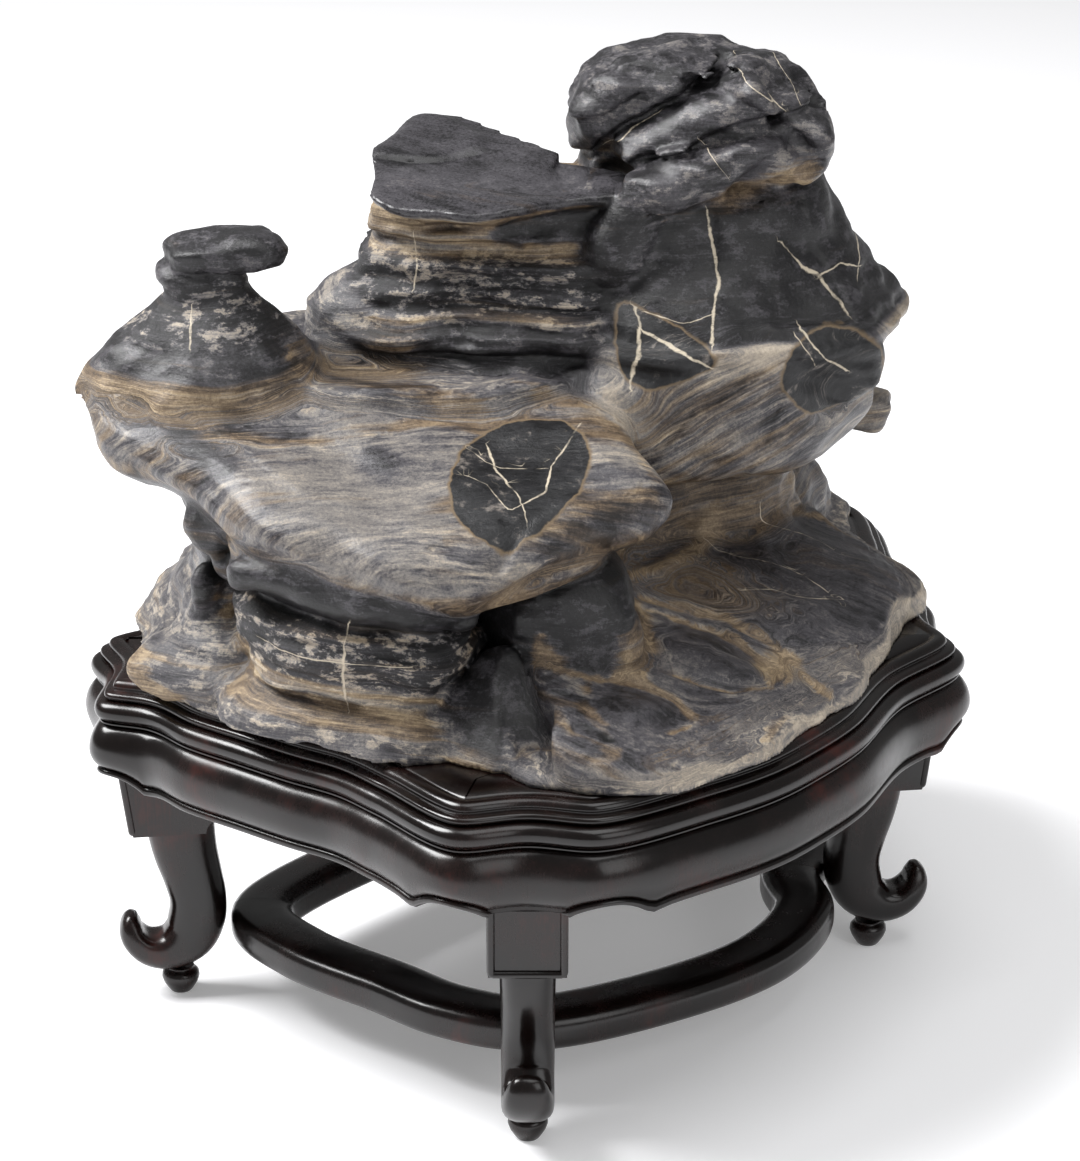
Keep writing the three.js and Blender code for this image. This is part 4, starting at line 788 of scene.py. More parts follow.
def paintStone(features, mesh):
    co = np.zeros(len(mesh.vertices) * 3, np.float32)
    mesh.vertices.foreach_get("co", co)
    x, y, z = (co.reshape(-1, 3) * 1000 - planShift.astype(np.float32)).T
    normals = np.zeros(len(mesh.vertices) * 3, np.float32)
    mesh.vertices.foreach_get("normal", normals)
    nx, ny, nz = normals.reshape(-1, 3).T
    looks, level = stoneLooks(features, x, y, z)
    # the steep rim of the slab was sawn, from the front round to the right
    sawn = np.clip((0.8 - np.abs(nz)) / 0.15, 0, 1)
    sawn = sawn * np.clip((stone["rimTop"] - z + 3 * noise(x, y, z, 12)) / 3, 0, 1)
    sawn = (sawn * np.clip((x - 40) / 14, 0, 1) * np.clip((70 - y) / 20, 0, 1))[:, None]
    looks = looks * (1 - sawn) + sawn * np.array(zones["sawn"], np.float32)
    # painted shade: how far the stone stays clear out along each normal, low in crevices, later darkens the
    # colour there
    reach = stone["crevice"]
    out = stoneDistance(features, x + nx * reach, y + ny * reach, z + nz * reach)
    oval = np.full(x.shape, stone["outlineReach"], np.float32)
    for plane, outline, (low, high) in ovals:
        oval = np.minimum(oval, outlineField(outline, plane, low, high, x, y, z))
    veinAway = [np.full(x.shape, 9, np.float32) for _ in range(3)]
    for layer, plane, width, (low, high), points in veins:
        a, b, c = inPlane(plane, x, y, z)
        away, past = lineField(points, a, b)
        away = away / (0.62 * width) + np.sign(away) * past * 0.7
        closer = (np.abs(away) < np.abs(veinAway[layer])) & (c > low) & (c < high)
        veinAway[layer] = np.where(closer, away, veinAway[layer])
    sure = [np.clip((4.5 - np.abs(v)) / 2.5, 0, 1) for v in veinAway]
    painted = dict(zip(("tone", "warm", "band", "mottle", "polish"), looks[:, (0, 1, 2, 3, 5)].T))
    painted.update(level=level, openness=np.clip(out / reach, 0, 1), oval=oval,
                   veinOne=veinAway[0], veinTwo=veinAway[1], veinThree=veinAway[2],
                   sureOne=sure[0], sureTwo=sure[1], sureThree=sure[2])
    for name, values in painted.items():
        mesh.attributes.new(name, "FLOAT", "POINT").data.foreach_set("value", values.astype(np.float32))


def applyModifiers(piece):
    graph = bpy.context.evaluated_depsgraph_get()
    made = bpy.data.meshes.new_from_object(piece.evaluated_get(graph))
    piece.modifiers.clear()
    piece.data = made


def makeStone():
    features = stoneFeatures()
    points, quads = carveStone(features)
    mesh = bpy.data.meshes.new("rockFine")
    mesh.from_pydata(((points + planShift) / 1000).tolist(), [], quads.tolist())
    mesh.validate()
    largestPiece(mesh)
    piece = bpy.data.objects.new("rockFine", mesh)
    bpy.context.scene.collection.objects.link(piece)
    thin = piece.modifiers.new("thin", "DECIMATE")
    thin.ratio = min(1.0, stone["triangles"] / (2 * len(mesh.polygons)))
    applyModifiers(piece)
    mesh = piece.data
    bm = bmesh.new()
    bm.from_mesh(mesh)
    bmesh.ops.triangulate(bm, faces=bm.faces)
    bmesh.ops.recalc_face_normals(bm, faces=bm.faces)
    for v in bm.verts:
        if v.co.z * 1000 < stone["foot"] + stone["flatten"]:
            v.co.z = stone["foot"] / 1000
    bm.to_mesh(mesh)
    bm.free()
    mesh.shade_smooth()
    paintStone(features, mesh)
    mesh.materials.append(limestone())
    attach(piece, "root")
    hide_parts("rock")
    return piece


def limestone():
    # black limestone, tumbled by water and rubbed with wax: satin skin, tan and cream bedding streaks,
    # black inclusions with a pale rim, white calcite veins, and painted shade darkening its crevices
    made, tree = newMaterial("waxedBlackLimestone")
    spot = addNode(tree, "TexCoord", {"out": "Object"})
    mm = addNode(tree, "VectorMath", {"operation": "SCALE"}, i0=spot, Scale=1000.0)
    x = addNode(tree, "SeparateXYZ", {"out": 0}, Vector=mm)
    y = addNode(tree, "SeparateXYZ", {"out": 1}, Vector=mm)
    value = {n: addNode(tree, "Attribute", {"attribute_name": n, "out": "Fac"})
             for n in ("tone", "warm", "band", "mottle", "polish", "level", "openness", "oval",
                       "veinOne", "veinTwo", "veinThree", "sureOne", "sureTwo", "sureThree")}
    # the bedding: noise drawn out along the level, so streaks are long and thin
    ripple = addNode(tree, "TexNoise", None, Vector=mm, Scale=1 / 16, Detail=3.0)
    level = addNode(tree, "Math", {"operation": "MULTIPLY_ADD"}, i0=ripple, i1=1.4, i2=value["level"])
    longX = addNode(tree, "Math", {"operation": "MULTIPLY"}, i0=x, i1=0.045)
    longY = addNode(tree, "Math", {"operation": "MULTIPLY"}, i0=y, i1=0.045)
    flow = addNode(tree, "CombineXYZ", None, X=longX, Y=longY, Z=level)
    aside = addNode(tree, "VectorMath", {"operation": "ADD"}, i0=flow, i1=(31.0, 17.0, 53.0))
    broad = addNode(tree, "TexNoise", None, Vector=flow, Scale=1 / 6.5, Detail=3.0, Roughness=0.5)
    fine = addNode(tree, "TexNoise", None, Vector=flow, Scale=1 / 1.3, Detail=6.0, Roughness=0.72)
    tanStreak = addNode(tree, "TexNoise", None, Vector=aside, Scale=1 / 4.6, Detail=4.0, Roughness=0.62)
    # chalky scuffs on the broken beds
    shortX = addNode(tree, "Math", {"operation": "MULTIPLY"}, i0=x, i1=0.5)
    shortY = addNode(tree, "Math", {"operation": "MULTIPLY"}, i0=y, i1=0.5)
    patchFlow = addNode(tree, "CombineXYZ", None, X=shortX, Y=shortY, Z=level)
    patch = addNode(tree, "TexNoise", None, Vector=patchFlow, Scale=1 / 7, Detail=10.0, Roughness=0.74)
    scuff = addNode(tree, "ValToRGB", {"stops": [(0.5, 0.0), (0.57, 1.0)]}, Fac=patch)
    grain = addNode(tree, "TexNoise", None, Vector=mm, Scale=1 / 1.6, Detail=7.0, Roughness=0.8)
    cloud = addNode(tree, "TexNoise", None, Vector=mm, Scale=1 / 30, Detail=6.0, Roughness=0.6)
    streak = addNode(tree, "Math", {"operation": "MULTIPLY_ADD"}, i0=broad, i1=0.55, i2=fine)
    streak = addNode(tree, "Math", {"operation": "SUBTRACT"}, i0=streak, i1=0.78)
    bold = addNode(tree, "MapRange", None, Value=cloud, i1=0.38, i2=0.62, i3=1.5, i4=0.5)
    streak = addNode(tree, "Math", {"operation": "MULTIPLY"}, i0=streak, i1=value["band"])
    streak = addNode(tree, "Math", {"operation": "MULTIPLY"}, i0=streak, i1=bold)
    tone = addNode(tree, "Math", {"operation": "MULTIPLY_ADD"}, i0=streak, i1=1.9, i2=value["tone"])
    blot = addNode(tree, "Math", {"operation": "MULTIPLY"}, i0=scuff, i1=value["mottle"])
    tone = addNode(tree, "Math", {"operation": "MULTIPLY_ADD"}, i0=blot, i1=0.46, i2=tone)
    shade = addNode(tree, "Math", {"operation": "MULTIPLY_ADD"}, i0=cloud, i1=0.34, i2=-0.17)
    tone = addNode(tree, "Math", {"operation": "ADD"}, i0=tone, i1=shade)
    dots = addNode(tree, "Math", {"operation": "MULTIPLY_ADD"}, i0=grain, i1=0.64, i2=-0.32)
    tone = addNode(tree, "Math", {"operation": "ADD"}, i0=tone, i1=dots)
    # painted shade: the tone is darkened by up to 0.16 where the stone closes round the skin, in crevices
    # and hollows
    hollow = addNode(tree, "Math", {"operation": "MULTIPLY_ADD"}, i0=value["openness"], i1=0.16, i2=-0.16)
    tone = addNode(tree, "Math", {"operation": "ADD"}, i0=tone, i1=hollow)
    grey = addNode(tree, "ValToRGB", {"stops": [
        (0.0, "#0b0b0c"), (0.18, "#1d1c1e"), (0.38, "#48464a"), (0.56, "#7a7570"), (0.76, "#aca090"),
        (1.0, "#d6cab6")]}, Fac=tone)
    tan = addNode(tree, "ValToRGB", {"stops": [
        (0.0, "#15110c"), (0.28, "#3b2f23"), (0.5, "#6f5c45"), (0.75, "#a38e6e"),
        (1.0, "#d3c3a6")]}, Fac=tone)
    share = addNode(tree, "Math", {"operation": "MULTIPLY_ADD"}, i0=tanStreak, i1=2.2, i2=-1.1)
    share = addNode(tree, "Math", {"operation": "ADD"}, i0=share, i1=value["warm"])
    share = addNode(tree, "ValToRGB", {"stops": [(0.34, 0.0), (0.72, 1.0)]}, Fac=share)
    share = addNode(tree, "Math", {"operation": "MULTIPLY", "use_clamp": True}, i0=share, i1=0.85)
    colour = addNode(tree, "Mix", {"data_type": "RGBA", "out": 2}, Factor=share, i6=grey, i7=tan)
    # the black inclusions, each with a thin pale rim
    fray = addNode(tree, "TexNoise", None, Vector=mm, Scale=1 / 9, Detail=5.0)
    edge = addNode(tree, "Math", {"operation": "MULTIPLY_ADD"}, i0=fray, i1=5.0, i2=value["oval"])
    inner = addNode(tree, "MapRange", None, Value=edge, i1=3.0, i2=2.2)
    rim = addNode(tree, "MapRange", None, Value=edge, i1=4.6, i2=3.0)
    flecks = addNode(tree, "ValToRGB", {"stops": [
        (0.40, "#0d0d0f"), (0.56, "#222224"), (0.66, "#77706a")]}, Fac=patch)
    brown = linear("#6e5d47")
    colour = addNode(tree, "Mix", {"data_type": "RGBA", "out": 2}, Factor=rim, i6=colour, i7=brown)
    colour = addNode(tree, "Mix", {"data_type": "RGBA", "out": 2}, Factor=inner, i6=colour, i7=flecks)
    # the veins wander a little and swell and thin along their way
    wander = addNode(tree, "TexNoise", None, Vector=mm, Scale=1 / 7, Detail=4.0)
    thick = addNode(tree, "MapRange", None, Value=cloud, i1=0.32, i2=0.68, i3=0.05, i4=0.9)
    shift = addNode(tree, "Math", {"operation": "MULTIPLY_ADD"}, i0=wander, i1=3.2, i2=-1.6)
    gaps = addNode(tree, "MapRange", None, Value=patch, i1=0.40, i2=0.50, i3=0.35, i4=1.0)
    calcite = linear("#c9bda8")
    for name in ("One", "Two", "Three"):
        away = addNode(tree, "Math", {"operation": "ADD"}, i0=value["vein" + name], i1=shift)
        away = addNode(tree, "Math", {"operation": "ABSOLUTE"}, i0=away)
        away = addNode(tree, "Math", {"operation": "SUBTRACT"}, i0=away, i1=thick)
        mask = addNode(tree, "MapRange", None, Value=away, i1=0.25, i2=-0.25)
        mask = addNode(tree, "Math", {"operation": "MULTIPLY"}, i0=mask, i1=value["sure" + name])
        mask = addNode(tree, "Math", {"operation": "MULTIPLY"}, i0=mask, i1=gaps)
        colour = addNode(tree, "Mix", {"data_type": "RGBA", "out": 2}, Factor=mask, i6=colour, i7=calcite)
    relief = addNode(tree, "Math", {"operation": "MULTIPLY"}, i0=fine, i1=value["band"])
    chips = addNode(tree, "Math", {"operation": "MULTIPLY"}, i0=patch, i1=value["mottle"])
    relief = addNode(tree, "Math", {"operation": "MULTIPLY_ADD"}, i0=chips, i1=1.4, i2=relief)
    broken = addNode(tree, "Math", {"operation": "SUBTRACT"}, i0=1.15, i1=value["polish"])
    crumb = addNode(tree, "TexNoise", None, Vector=mm, Scale=1 / 2.4, Detail=7.0, Roughness=0.66)
    relief = addNode(tree, "Math", {"operation": "MULTIPLY_ADD"}, i0=crumb, i1=broken, i2=relief)
    bump = addNode(tree, "Bump", None, Strength=0.7, Distance=0.0011, Height=relief)
    gloss = addNode(tree, "Math", {"operation": "MULTIPLY_ADD"}, i0=value["polish"], i1=-0.36, i2=0.66)
    gloss = addNode(tree, "Math", {"operation": "MULTIPLY_ADD"}, i0=dots, i1=0.8, i2=gloss)
    shader = addNode(tree, "BsdfPrincipled", None, Base_Color=colour, Roughness=gloss, IOR=1.46, Normal=bump)
    addNode(tree, "OutputMaterial", None, Surface=shader)
    return made


def lacquer():
    # hardwood under many coats of dark lacquer, rubbed: near black, red where it is thin
    made, tree = newMaterial("rubbedDarkLacquer")
    spot = addNode(tree, "TexCoord", {"out": "Object"})
    wear = addNode(tree, "TexNoise", None, Vector=spot, Scale=1 / 0.045, Detail=7.0, Roughness=0.62)
    stretched = addNode(tree, "VectorMath", {"operation": "MULTIPLY"}, i0=spot, i1=(900.0, 900.0, 60.0))
    grain = addNode(tree, "TexNoise", None, Vector=stretched, Scale=1.0, Detail=4.0)
    wear = addNode(tree, "Math", {"operation": "MULTIPLY_ADD"}, i0=grain, i1=0.22, i2=wear)
    colour = addNode(tree, "ValToRGB", {"stops": [
        (0.55, "#0a0504"), (0.70, "#170907"), (0.85, "#3a130c")]}, Fac=wear)
    dull = addNode(tree, "MapRange", None, Value=wear, i1=0.4, i2=0.8, i3=0.16, i4=0.34)
    dents = addNode(tree, "TexNoise", None, Vector=spot, Scale=1 / 0.012, Detail=3.0)
    dents = addNode(tree, "Math", {"operation": "MULTIPLY_ADD"}, i0=grain, i1=0.12, i2=dents)
    bump = addNode(tree, "Bump", None, Strength=0.25, Distance=0.0006, Height=dents)
    shader = addNode(tree, "BsdfPrincipled", None, Base_Color=colour, Roughness=dull, IOR=1.47, Normal=bump)
    addNode(tree, "OutputMaterial", None, Surface=shader)
    return made


stand = {
    "boardTop": 199.0, "upperTier": 9.5, "lowerTier": 12.7, "apronHeight": 35.0, "tabWidth": 40.6,
    "gap": 0.3,  # between pieces that touch
}  # mm
# each leg's name, its place in plan and the way it faces, in degrees from +x
legs = [("front", (0, -195), 270), ("right", (193, 29), 8), ("back", (112, 243), 68),
        ("left", (-193, -29), 188)]
# the stand's lip: how far it stands out at a leg, how much it dips and spreads beside it, and the
# points it swells through from each leg to the next
lip = {
    "cornerReach": 35.0, "bracketDip": 5.0, "bracketSpread": 37.0,
    "front": [(96, -199), (128, -173), (150, -147), (174, -112), (200, -55)],
    "right": [(214, 108), (213, 160), (206, 215)],
    "back": [(40, 272), (-25, 232), (-85, 180), (-140, 112), (-186, 44)],
    "left": [(-200, -84), (-179, -107), (-151, -129), (-124, -150), (-98, -168), (-78, -190)],
}  # mm
sides = ("front_right", "back_right", "back_left", "front_left")  # from each leg to the next


def undersideOfBoards():
    return stand["boardTop"] - stand["upperTier"] - stand["lowerTier"] - 2 * stand["gap"]


def legPlace(foot, facing):
    # places about a leg: u outwards, v to its left, z up
    angle = math.radians(facing)
    out = np.array([math.cos(angle), math.sin(angle), 0])
    side = np.array([-out[1], out[0], 0])
    return lambda u, v, z: np.array([foot[0], foot[1], 0]) + out * u + side * v + np.array([0, 0, z])


def outward(line):
    # the way out from a closed anticlockwise line, at each of its points
    along = np.roll(line, -1, 0) - np.roll(line, 1, 0)
    along /= np.linalg.norm(along, axis=1)[:, None]
    return np.stack([along[:, 1], -along[:, 0]], 1)


def lipLine(steps=16):
    # the lower lip's plan, anticlockwise, with the way out and the step at which it passes each leg
    points = []
    starts = []
    reach, dip, spread = lip["cornerReach"], lip["bracketDip"], lip["bracketSpread"]
    for name, foot, facing in legs:
        place = legPlace(foot, facing)
        starts.append((len(points) + 1) * steps)
        points += [place(reach + dip * abs(v), spread * v, 0)[:2] for v in (-1, 0, 1)]
        points += [np.array(p, float) for p in lip[name]]
    line = smoothLoop(points, steps)
    return line, outward(line), starts


def shape(bm, name, node, wood, sharp=40):
    # a finished piece in metres, that stands in for a node of the frame
    bmesh.ops.recalc_face_normals(bm, faces=bm.faces)
    mesh = bpy.data.meshes.new(name)
    bm.to_mesh(mesh)
    bm.free()
    mesh.shade_smooth()
    mesh.set_sharp_from_angle(angle=math.radians(sharp))
    mesh.materials.append(wood)
    piece = bpy.data.objects.new(name, mesh)
    bpy.context.scene.collection.objects.link(piece)
    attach(piece, "root")
    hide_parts(node)
    return piece


def pull(bm, rings):
    # a closed body through rows of rings: each is drawn out of the one before and set in its place
    row = [bm.verts.new((p + planShift) / 1000) for p in rings[0]]
    edges = [bm.edges.new(pair) for pair in zip(row, row[1:] + row[:1])]
    first = edges
    for ring in rings[1:]:
        order = {v: i for i, v in enumerate(row)}
        made = bmesh.ops.extrude_edge_only(bm, edges=edges)["geom"]
        edges = [g for g in made if isinstance(g, bmesh.types.BMEdge)]
        row = [None] * len(ring)
        for v in (g for g in made if isinstance(g, bmesh.types.BMVert)):
            before = next(e.other_vert(v) for e in v.link_edges if e.other_vert(v) in order)
            row[order[before]] = v
            v.co = (ring[order[before]] + planShift) / 1000
    bmesh.ops.contextual_create(bm, geom=first)
    bmesh.ops.contextual_create(bm, geom=edges)


def arc(across, up, radius, start, end, count=7):
    # a round stretch of a section, from one angle to another in degrees
    return [(across + radius * math.cos(math.radians(a)), up + radius * math.sin(math.radians(a)))
            for a in np.linspace(start, end, count)]


def squareRound(count, power):
    # once round a section between a circle and a square: cosine, sine and how far out it swells
    for angle in np.linspace(0, 2 * math.pi, count, endpoint=False):
        c, s = math.cos(angle), math.sin(angle)
        yield c, s, (abs(c) ** power + abs(s) ** power) ** (-1 / power)


def shorten(rings, away):
    # each end is drawn in by this many mm, clear of its neighbour
    for end, nextIn in ((0, 1), (-1, -2)):
        step = rings[nextIn] - rings[end]
        rings[end] = rings[end] + step / np.linalg.norm(step[0]) * away


def makeBoard(name, node, section, wood):
    line, out, _ = lipLine()
    bm = bmesh.new()
    rings = [np.column_stack([line + out * across, np.full(len(line), up)]) for across, up in section]
    middle = rings[-1].mean(0)
    rings.append(middle + (rings[-1] - middle) * 0.9)  # the flat top keeps its own shading
    pull(bm, rings)
    shape(bm, name, node, wood, 50)


boards = {"lipStep": 8.0, "thumb": 4.0, "bead": 2.0, "roll": 5.5}  # mm: set-back and the mouldings' radii


def makeBoards(wood):
    # each section runs from the underside, out round its mouldings and back in along the top
    low = stand["boardTop"] - stand["upperTier"]
    s = -boards["lipStep"]
    top = ([(s - 9, low), (s + 1.0, low)] + arc(s + 0.4, low + 2.0, boards["bead"], -70, 80)
           + [(s - 1.2, low + 4.2), (s - 2.4, low + 4.6), (s - 2.6, low + 5.4)]
           + arc(s - 6.4, low + 5.5, boards["thumb"], 5, 88, 9)
           + [(s - 9.5, low + 9.4), (s - 10.4, low + 8.7), (s - 12, low + 8.6), (s - 12.8, low + 9.5)])
    makeBoard("topBoardFine", "top_board", top, wood)
    high = low - stand["gap"]
    low = high - stand["lowerTier"]
    roll = ([(-14, low), (-3.6, low), (-3.0, low + 0.5), (-3.0, low + 1.2), (-3.9, low + 1.7)]
            + [(-3.7, low + 2.3)] + arc(-5.6, low + 7.2, boards["roll"], -66, 76, 13)
            + [(-5.6, low + 12.6), (-9, high)])
    makeBoard("lowerMouldingFine", "lower_moulding", roll, wood)


aprons = {
    "belly": [(-9, 35), (-3.4, 34.2), (0.6, 30), (3.3, 22), (3.4, 14), (0.8, 7.4), (-2.6, 4.6), (-12, 20)],
    "wave": 7.0, "waveLength": 44.0,  # the arch in the lower edge beside each leg
    "bead": 2.4,
    "away": 0.02,  # each end keeps clear of the next apron
}  # mm


def makeAprons(wood):
    line, out, starts = lipLine()
    low = undersideOfBoards() - stand["apronHeight"]
    steps = np.linalg.norm(np.roll(line, -1, 0) - line, axis=1)
    belly = smoothLoop(aprons["belly"], 4)[:-7]  # without the way back to its start
    wave, r = aprons["waveLength"], aprons["bead"]
    for i, name in enumerate(sides):
        count = (starts[(i + 1) % 4] - starts[i]) % len(line)
        order = [(starts[i] + k) % len(line) for k in range(count + 1)]
        run = np.concatenate([[0], np.cumsum(steps[order[:-1]])])
        rings = []
        for k, n in enumerate(order):
            near = min(run[k], run[-1] - run[k]) - stand["tabWidth"] / 2
            rise = aprons["wave"] * math.sin(math.pi * min(max(near / wave, 0), 1)) ** 0.7
            rise = rise - 1.6 * math.exp(-((near - wave) / 9) ** 2)
            beside = min(max(near / 3 + 1, 0), 1)  # the bead dies away behind each tab
            bead = arc(-r, r, r * beside + 0.15, 80, -90, 8)
            section = [(a, max(b, 4.4)) for a, b in belly] + bead + [(-9, 0), (-17, 2), (-19, 35)]
            fall = [1 - min(b / 30, 1) for _, b in section]
            points = [line[n] + out[n] * a for a, _ in section]
            rings.append(np.array([(p[0], p[1], low + b + rise * f)
                                   for p, (_, b), f in zip(points, section, fall)]))
        shorten(rings, aprons["away"])
        bm = bmesh.new()
        pull(bm, rings)
        shape(bm, "apronFine_" + name, "apron_" + name, wood)


legForm = {
    # down the leg: outward place, height, half depth, half width
    "stations": [(-3, 116, 18, 14.6), (-3, 100, 18.5, 14.6), (-5, 85, 17.5, 14.2), (-8.5, 70, 16.2, 13.9),
                 (-11, 56, 15.6, 13.8), (-10, 44, 15.6, 13.8), (-5, 33.5, 14.6, 13.6), (6, 27, 12, 13.6),
                 (17, 28.5, 10, 13.4), (24.5, 36, 8.2, 12), (26, 43, 6, 9.6), (25.4, 47.5, 3, 6),
                 (25.2, 48.6, 0.8, 2)],
    "hollow": 3.2,  # taken out of the toe's upper side
    "tabBottom": 102.0, "tabHead": 30.0, "tabFoot": 25.0,  # how far out the tab's face stands, top and foot
    "postBack": -24, "postRound": 8,
    "bead": 2.1, "beadCorner": 1.5,
}  # mm


def legShaft(place):
    # rings down the shaft and round the toe
    stations = np.array(legForm["stations"], float)
    steps = 5
    ends = np.vstack([stations, stations[-1] + (0, 1, -0.5, -1), stations[0] + (0, 60, 0, 0)])
    spine = smoothLoop(ends, steps)[:(len(stations) - 1) * steps + 1]
    rings = []
    for k, (u, z, depth, width) in enumerate(spine):
        before, after = spine[max(k - 1, 0)], spine[min(k + 1, len(spine) - 1)]
        tangent = np.array([after[0] - before[0], after[1] - before[1]])
        tangent /= np.linalg.norm(tangent)
        hollow = legForm["hollow"] * math.exp(-((k - 42) / 7) ** 2)
        ring = []
        for c, s, swell in squareRound(28, 2.7):
            across = c * depth * swell
            across += hollow * max(c, 0) ** 2 * -1
            ring.append(place(u - tangent[1] * across, s * width * swell, z + tangent[0] * across))
        rings.append(np.array(ring))
    return rings


def legTab(place, high, top, half):
    # the square tab under the corner, with the post behind the aprons
    low, head, foot = legForm["tabBottom"], legForm["tabHead"] - 1.6, legForm["tabFoot"] - 1.6
    back, r = legForm["postBack"], legForm["postRound"]
    outline = ([(head, high), (14, high), (14, top), (back, top), (back, low + r)]
               + [(back + r * math.cos(a), low + r * math.sin(a)) for a in np.radians((70, 45, 20, 0))]
               + [(foot, low)])
    flat = half - 0.6
    return [np.array([place(u, v, z) for u, z in outline]) for v in (-flat, flat)]


def legBead(place, high, half):
    # the bead round the tab's two sides and foot, on the sloping face
    low, head, foot = legForm["tabBottom"], legForm["tabHead"], legForm["tabFoot"]
    r, corner = legForm["bead"], legForm["beadCorner"]
    path = [(-half + r, high + 4.5), (-half + r, low + r + corner)]
    path += [(-half + r + corner - corner * math.cos(a), low + r + corner - corner * math.sin(a))
             for a in np.radians((30, 60))]
    path += [(-half + r + corner, low + r)]
    path = path + [(-v, z) for v, z in reversed(path)]
    rings = []
    for k, (v, z) in enumerate(path):
        a, b = path[max(k - 1, 0)], path[min(k + 1, len(path) - 1)]
        go = np.array([b[0] - a[0], b[1] - a[1]])
        go /= np.linalg.norm(go)
        face = foot + (head - foot) * (z - low) / (high - low)
        ring = [place(face - 1.8 + r * 1.1 * math.cos(t), v + go[1] * r * math.sin(t),
                      z - go[0] * r * math.sin(t))
                for t in np.linspace(0, 2 * math.pi, 14, endpoint=False)]
        rings.append(np.array(ring))
    return rings


def makeLegs(wood):
    top = undersideOfBoards()
    high = top - stand["apronHeight"] - stand["gap"]
    half = stand["tabWidth"] / 2
    for name, at, facing in legs:
        place = legPlace(at, facing)
        bm = bmesh.new()
        pull(bm, legShaft(place))
        pull(bm, legTab(place, high, top, half))
        pull(bm, legBead(place, high, half))
        shape(bm, "legFine_" + name, "leg_" + name, wood, 50)


ballFeet = {
    "profile": [(0, 0), (5.6, 0), (6.4, 0.8), (7.6, 2.6), (9.3, 5.4), (10.4, 8.6), (10.1, 11.2), (8.7, 12.8),
                (7.2, 13.4), (7.0, 14.2), (7.4, 15), (0, 15)],  # mm: radius by height
    "steps": 40,
}


def makeBallFeet(wood):
    for name, at, _ in legs:
        bm = bmesh.new()
        centre = Vector((np.array([at[0], at[1], 0]) + planShift) / 1000)
        row = [bm.verts.new(centre + Vector((r / 1000, 0, z / 1000))) for r, z in ballFeet["profile"]]
        edges = [bm.edges.new(pair) for pair in zip(row, row[1:])]
        bmesh.ops.spin(bm, geom=row + edges, cent=centre, axis=(0, 0, 1), angle=math.tau,
                       steps=ballFeet["steps"], use_merge=True)
        bmesh.ops.remove_doubles(bm, verts=bm.verts, dist=1e-6)
        shape(bm, "ballFootFine_" + name, "ball_foot_" + name, wood, 60)


rails = {
    "height": 22.0, "width": 34.0, "level": 41.0,
    "inset": 46.0,  # in from each leg's centre
    "away": 0.15,  # each end keeps clear of its leg
    # the points each rail bows through, from its leg to the next
    "front": [(72, -118), (128, -72), (152, -20)], "right": [(161, 68), (160, 122), (140, 165)],
    "back": [(52, 178), (-15, 128), (-84, 68)], "left": [(-122, -68), (-74, -108), (-40, -136)],
}  # mm


def makeRails(wood):
    corners = []
    for name, at, facing in legs:
        corners.append(legPlace(at, facing)(-rails["inset"], 0, 0)[:2])
        corners += [np.array(p, float) for p in rails[name]]
    steps = 20
    line = smoothLoop(corners, steps)
    out = outward(line)
    w, h = rails["width"] / 2, rails["height"] / 2
    for i, name in enumerate(sides):
        rings = []
        for n in range(i * 4 * steps, (i + 1) * 4 * steps + 1):
            n %= len(line)
            ring = []
            for c, s, swell in squareRound(36, 3.4):
                spot = line[n] + out[n] * c * w * swell
                ring.append((spot[0], spot[1], rails["level"] + s * h * swell))
            rings.append(np.array(ring))
        shorten(rings, rails["away"])
        bm = bmesh.new()
        pull(bm, rings)
        shape(bm, "railFine_" + name, "rail_" + name, wood)


studio = {
    "floor": "#f4f4f6", "floorGlow": 0.22, "floorHalf": 9.0, "world": 0.24,
    "aim": (0, 0, 0.25),
    # each lamp's place and size in metres, and its power in watts
    "lamps": [("key", (-1.9, 0.2, 2.6), 1.5, 165.0), ("fill", (1.7, -2.2, 1.7), 1.8, 22.0),
              ("top", (0.4, -0.5, 2.9), 1.8, 30.0)],
}


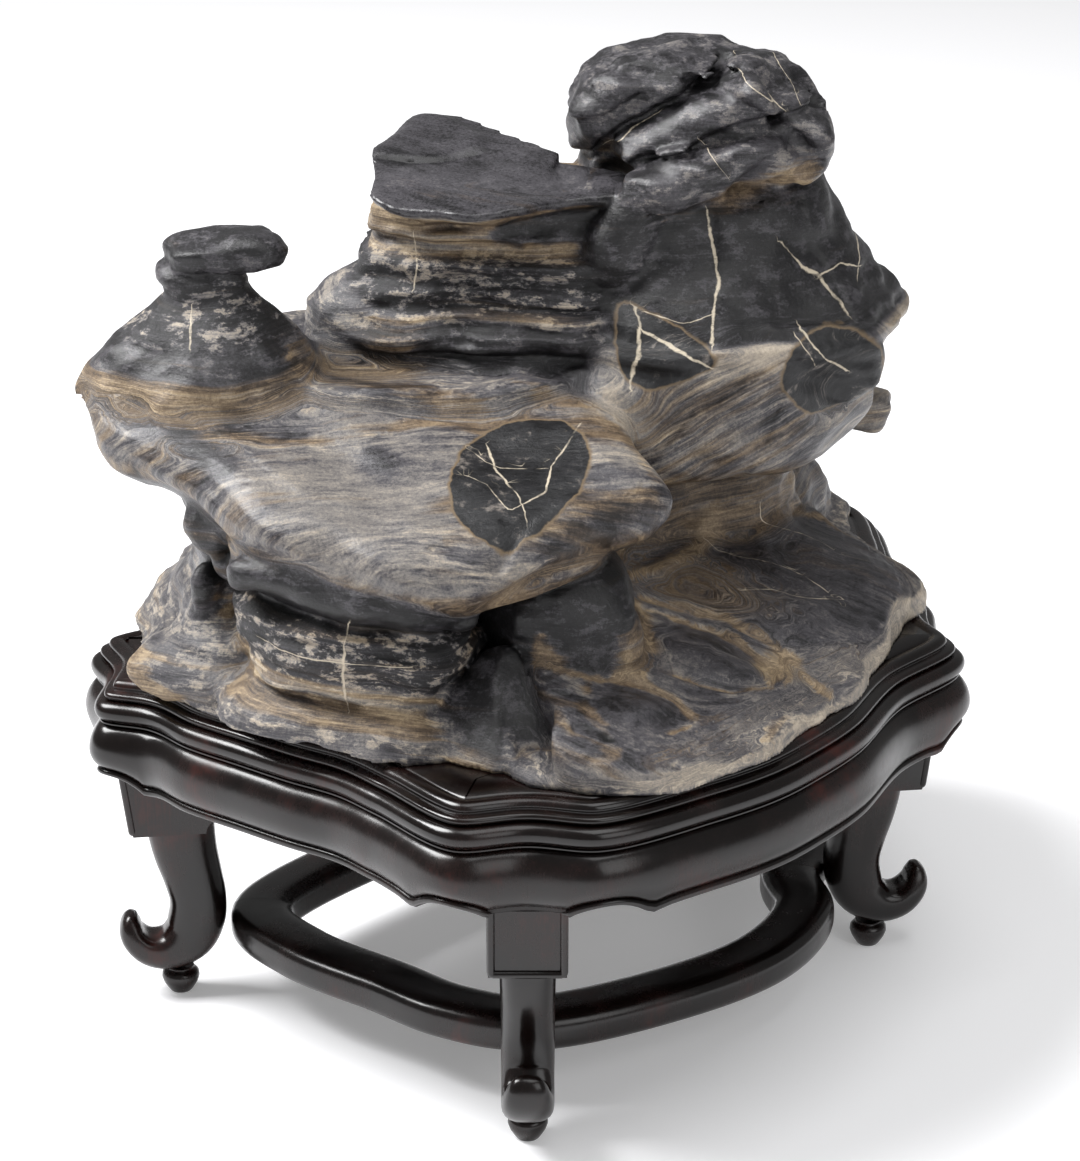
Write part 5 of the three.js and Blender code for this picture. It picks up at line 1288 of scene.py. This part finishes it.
def makeStudio():
    scene = bpy.context.scene
    scene.view_settings.view_transform = "Standard"
    paper, tree = newMaterial("paperSweep")
    shader = addNode(tree, "BsdfPrincipled", None, Base_Color=linear(studio["floor"]), Roughness=0.8,
                     Emission_Color=(1, 1, 1, 1), Emission_Strength=studio["floorGlow"])
    addNode(tree, "OutputMaterial", None, Surface=shader)
    bm = bmesh.new()
    bmesh.ops.create_grid(bm, x_segments=1, y_segments=1, size=studio["floorHalf"])
    mesh = bpy.data.meshes.new("floor")
    bm.to_mesh(mesh)
    bm.free()
    mesh.materials.append(paper)
    floor = bpy.data.objects.new("floor", mesh)
    scene.collection.objects.link(floor)
    world = bpy.data.worlds.new("softRoom")
    scene.world = world
    world.use_nodes = True
    world.node_tree.nodes["Background"].inputs[0].default_value = (1, 1, 1, 1)
    world.node_tree.nodes["Background"].inputs[1].default_value = studio["world"]
    for name, place, size, power in studio["lamps"]:
        data = bpy.data.lights.new(name, "AREA")
        data.shape = "SQUARE"
        data.size = size
        data.energy = power
        lamp = bpy.data.objects.new(name, data)
        scene.collection.objects.link(lamp)
        lamp.location = place
        lamp.rotation_euler = (Vector(studio["aim"]) - Vector(place)).to_track_quat("-Z", "Y").to_euler()


view = {
    "lens": 120, "sensor": 36, "down": 20.51,  # mm, mm and degrees
    "aside": 6.2, "away": -1823.1, "height": 913.0,  # mm, on the plan's own origin
}


def makeCamera():
    data = bpy.data.cameras.new("camera")
    data.sensor_fit = "HORIZONTAL"
    data.sensor_width = view["sensor"]
    data.lens = view["lens"]
    camera = bpy.data.objects.new("camera", data)
    bpy.context.scene.collection.objects.link(camera)
    camera.location = ((frontFoot[0] + view["aside"] + planShift[0]) / 1000,
                       (view["away"] + planShift[1]) / 1000, view["height"] / 1000)
    camera.rotation_euler = (math.radians(90 - view["down"]), 0, 0)
    bpy.context.scene.camera = camera


makeCamera()
makeStudio()
print("studio ready")
wood = lacquer()
makeBoards(wood)
makeAprons(wood)
print("boards and aprons ready")
makeLegs(wood)
makeBallFeet(wood)
makeRails(wood)
print("legs, feet and rails ready")
rockFine = makeStone()
print("stone ready:", len(rockFine.data.polygons), "triangles")
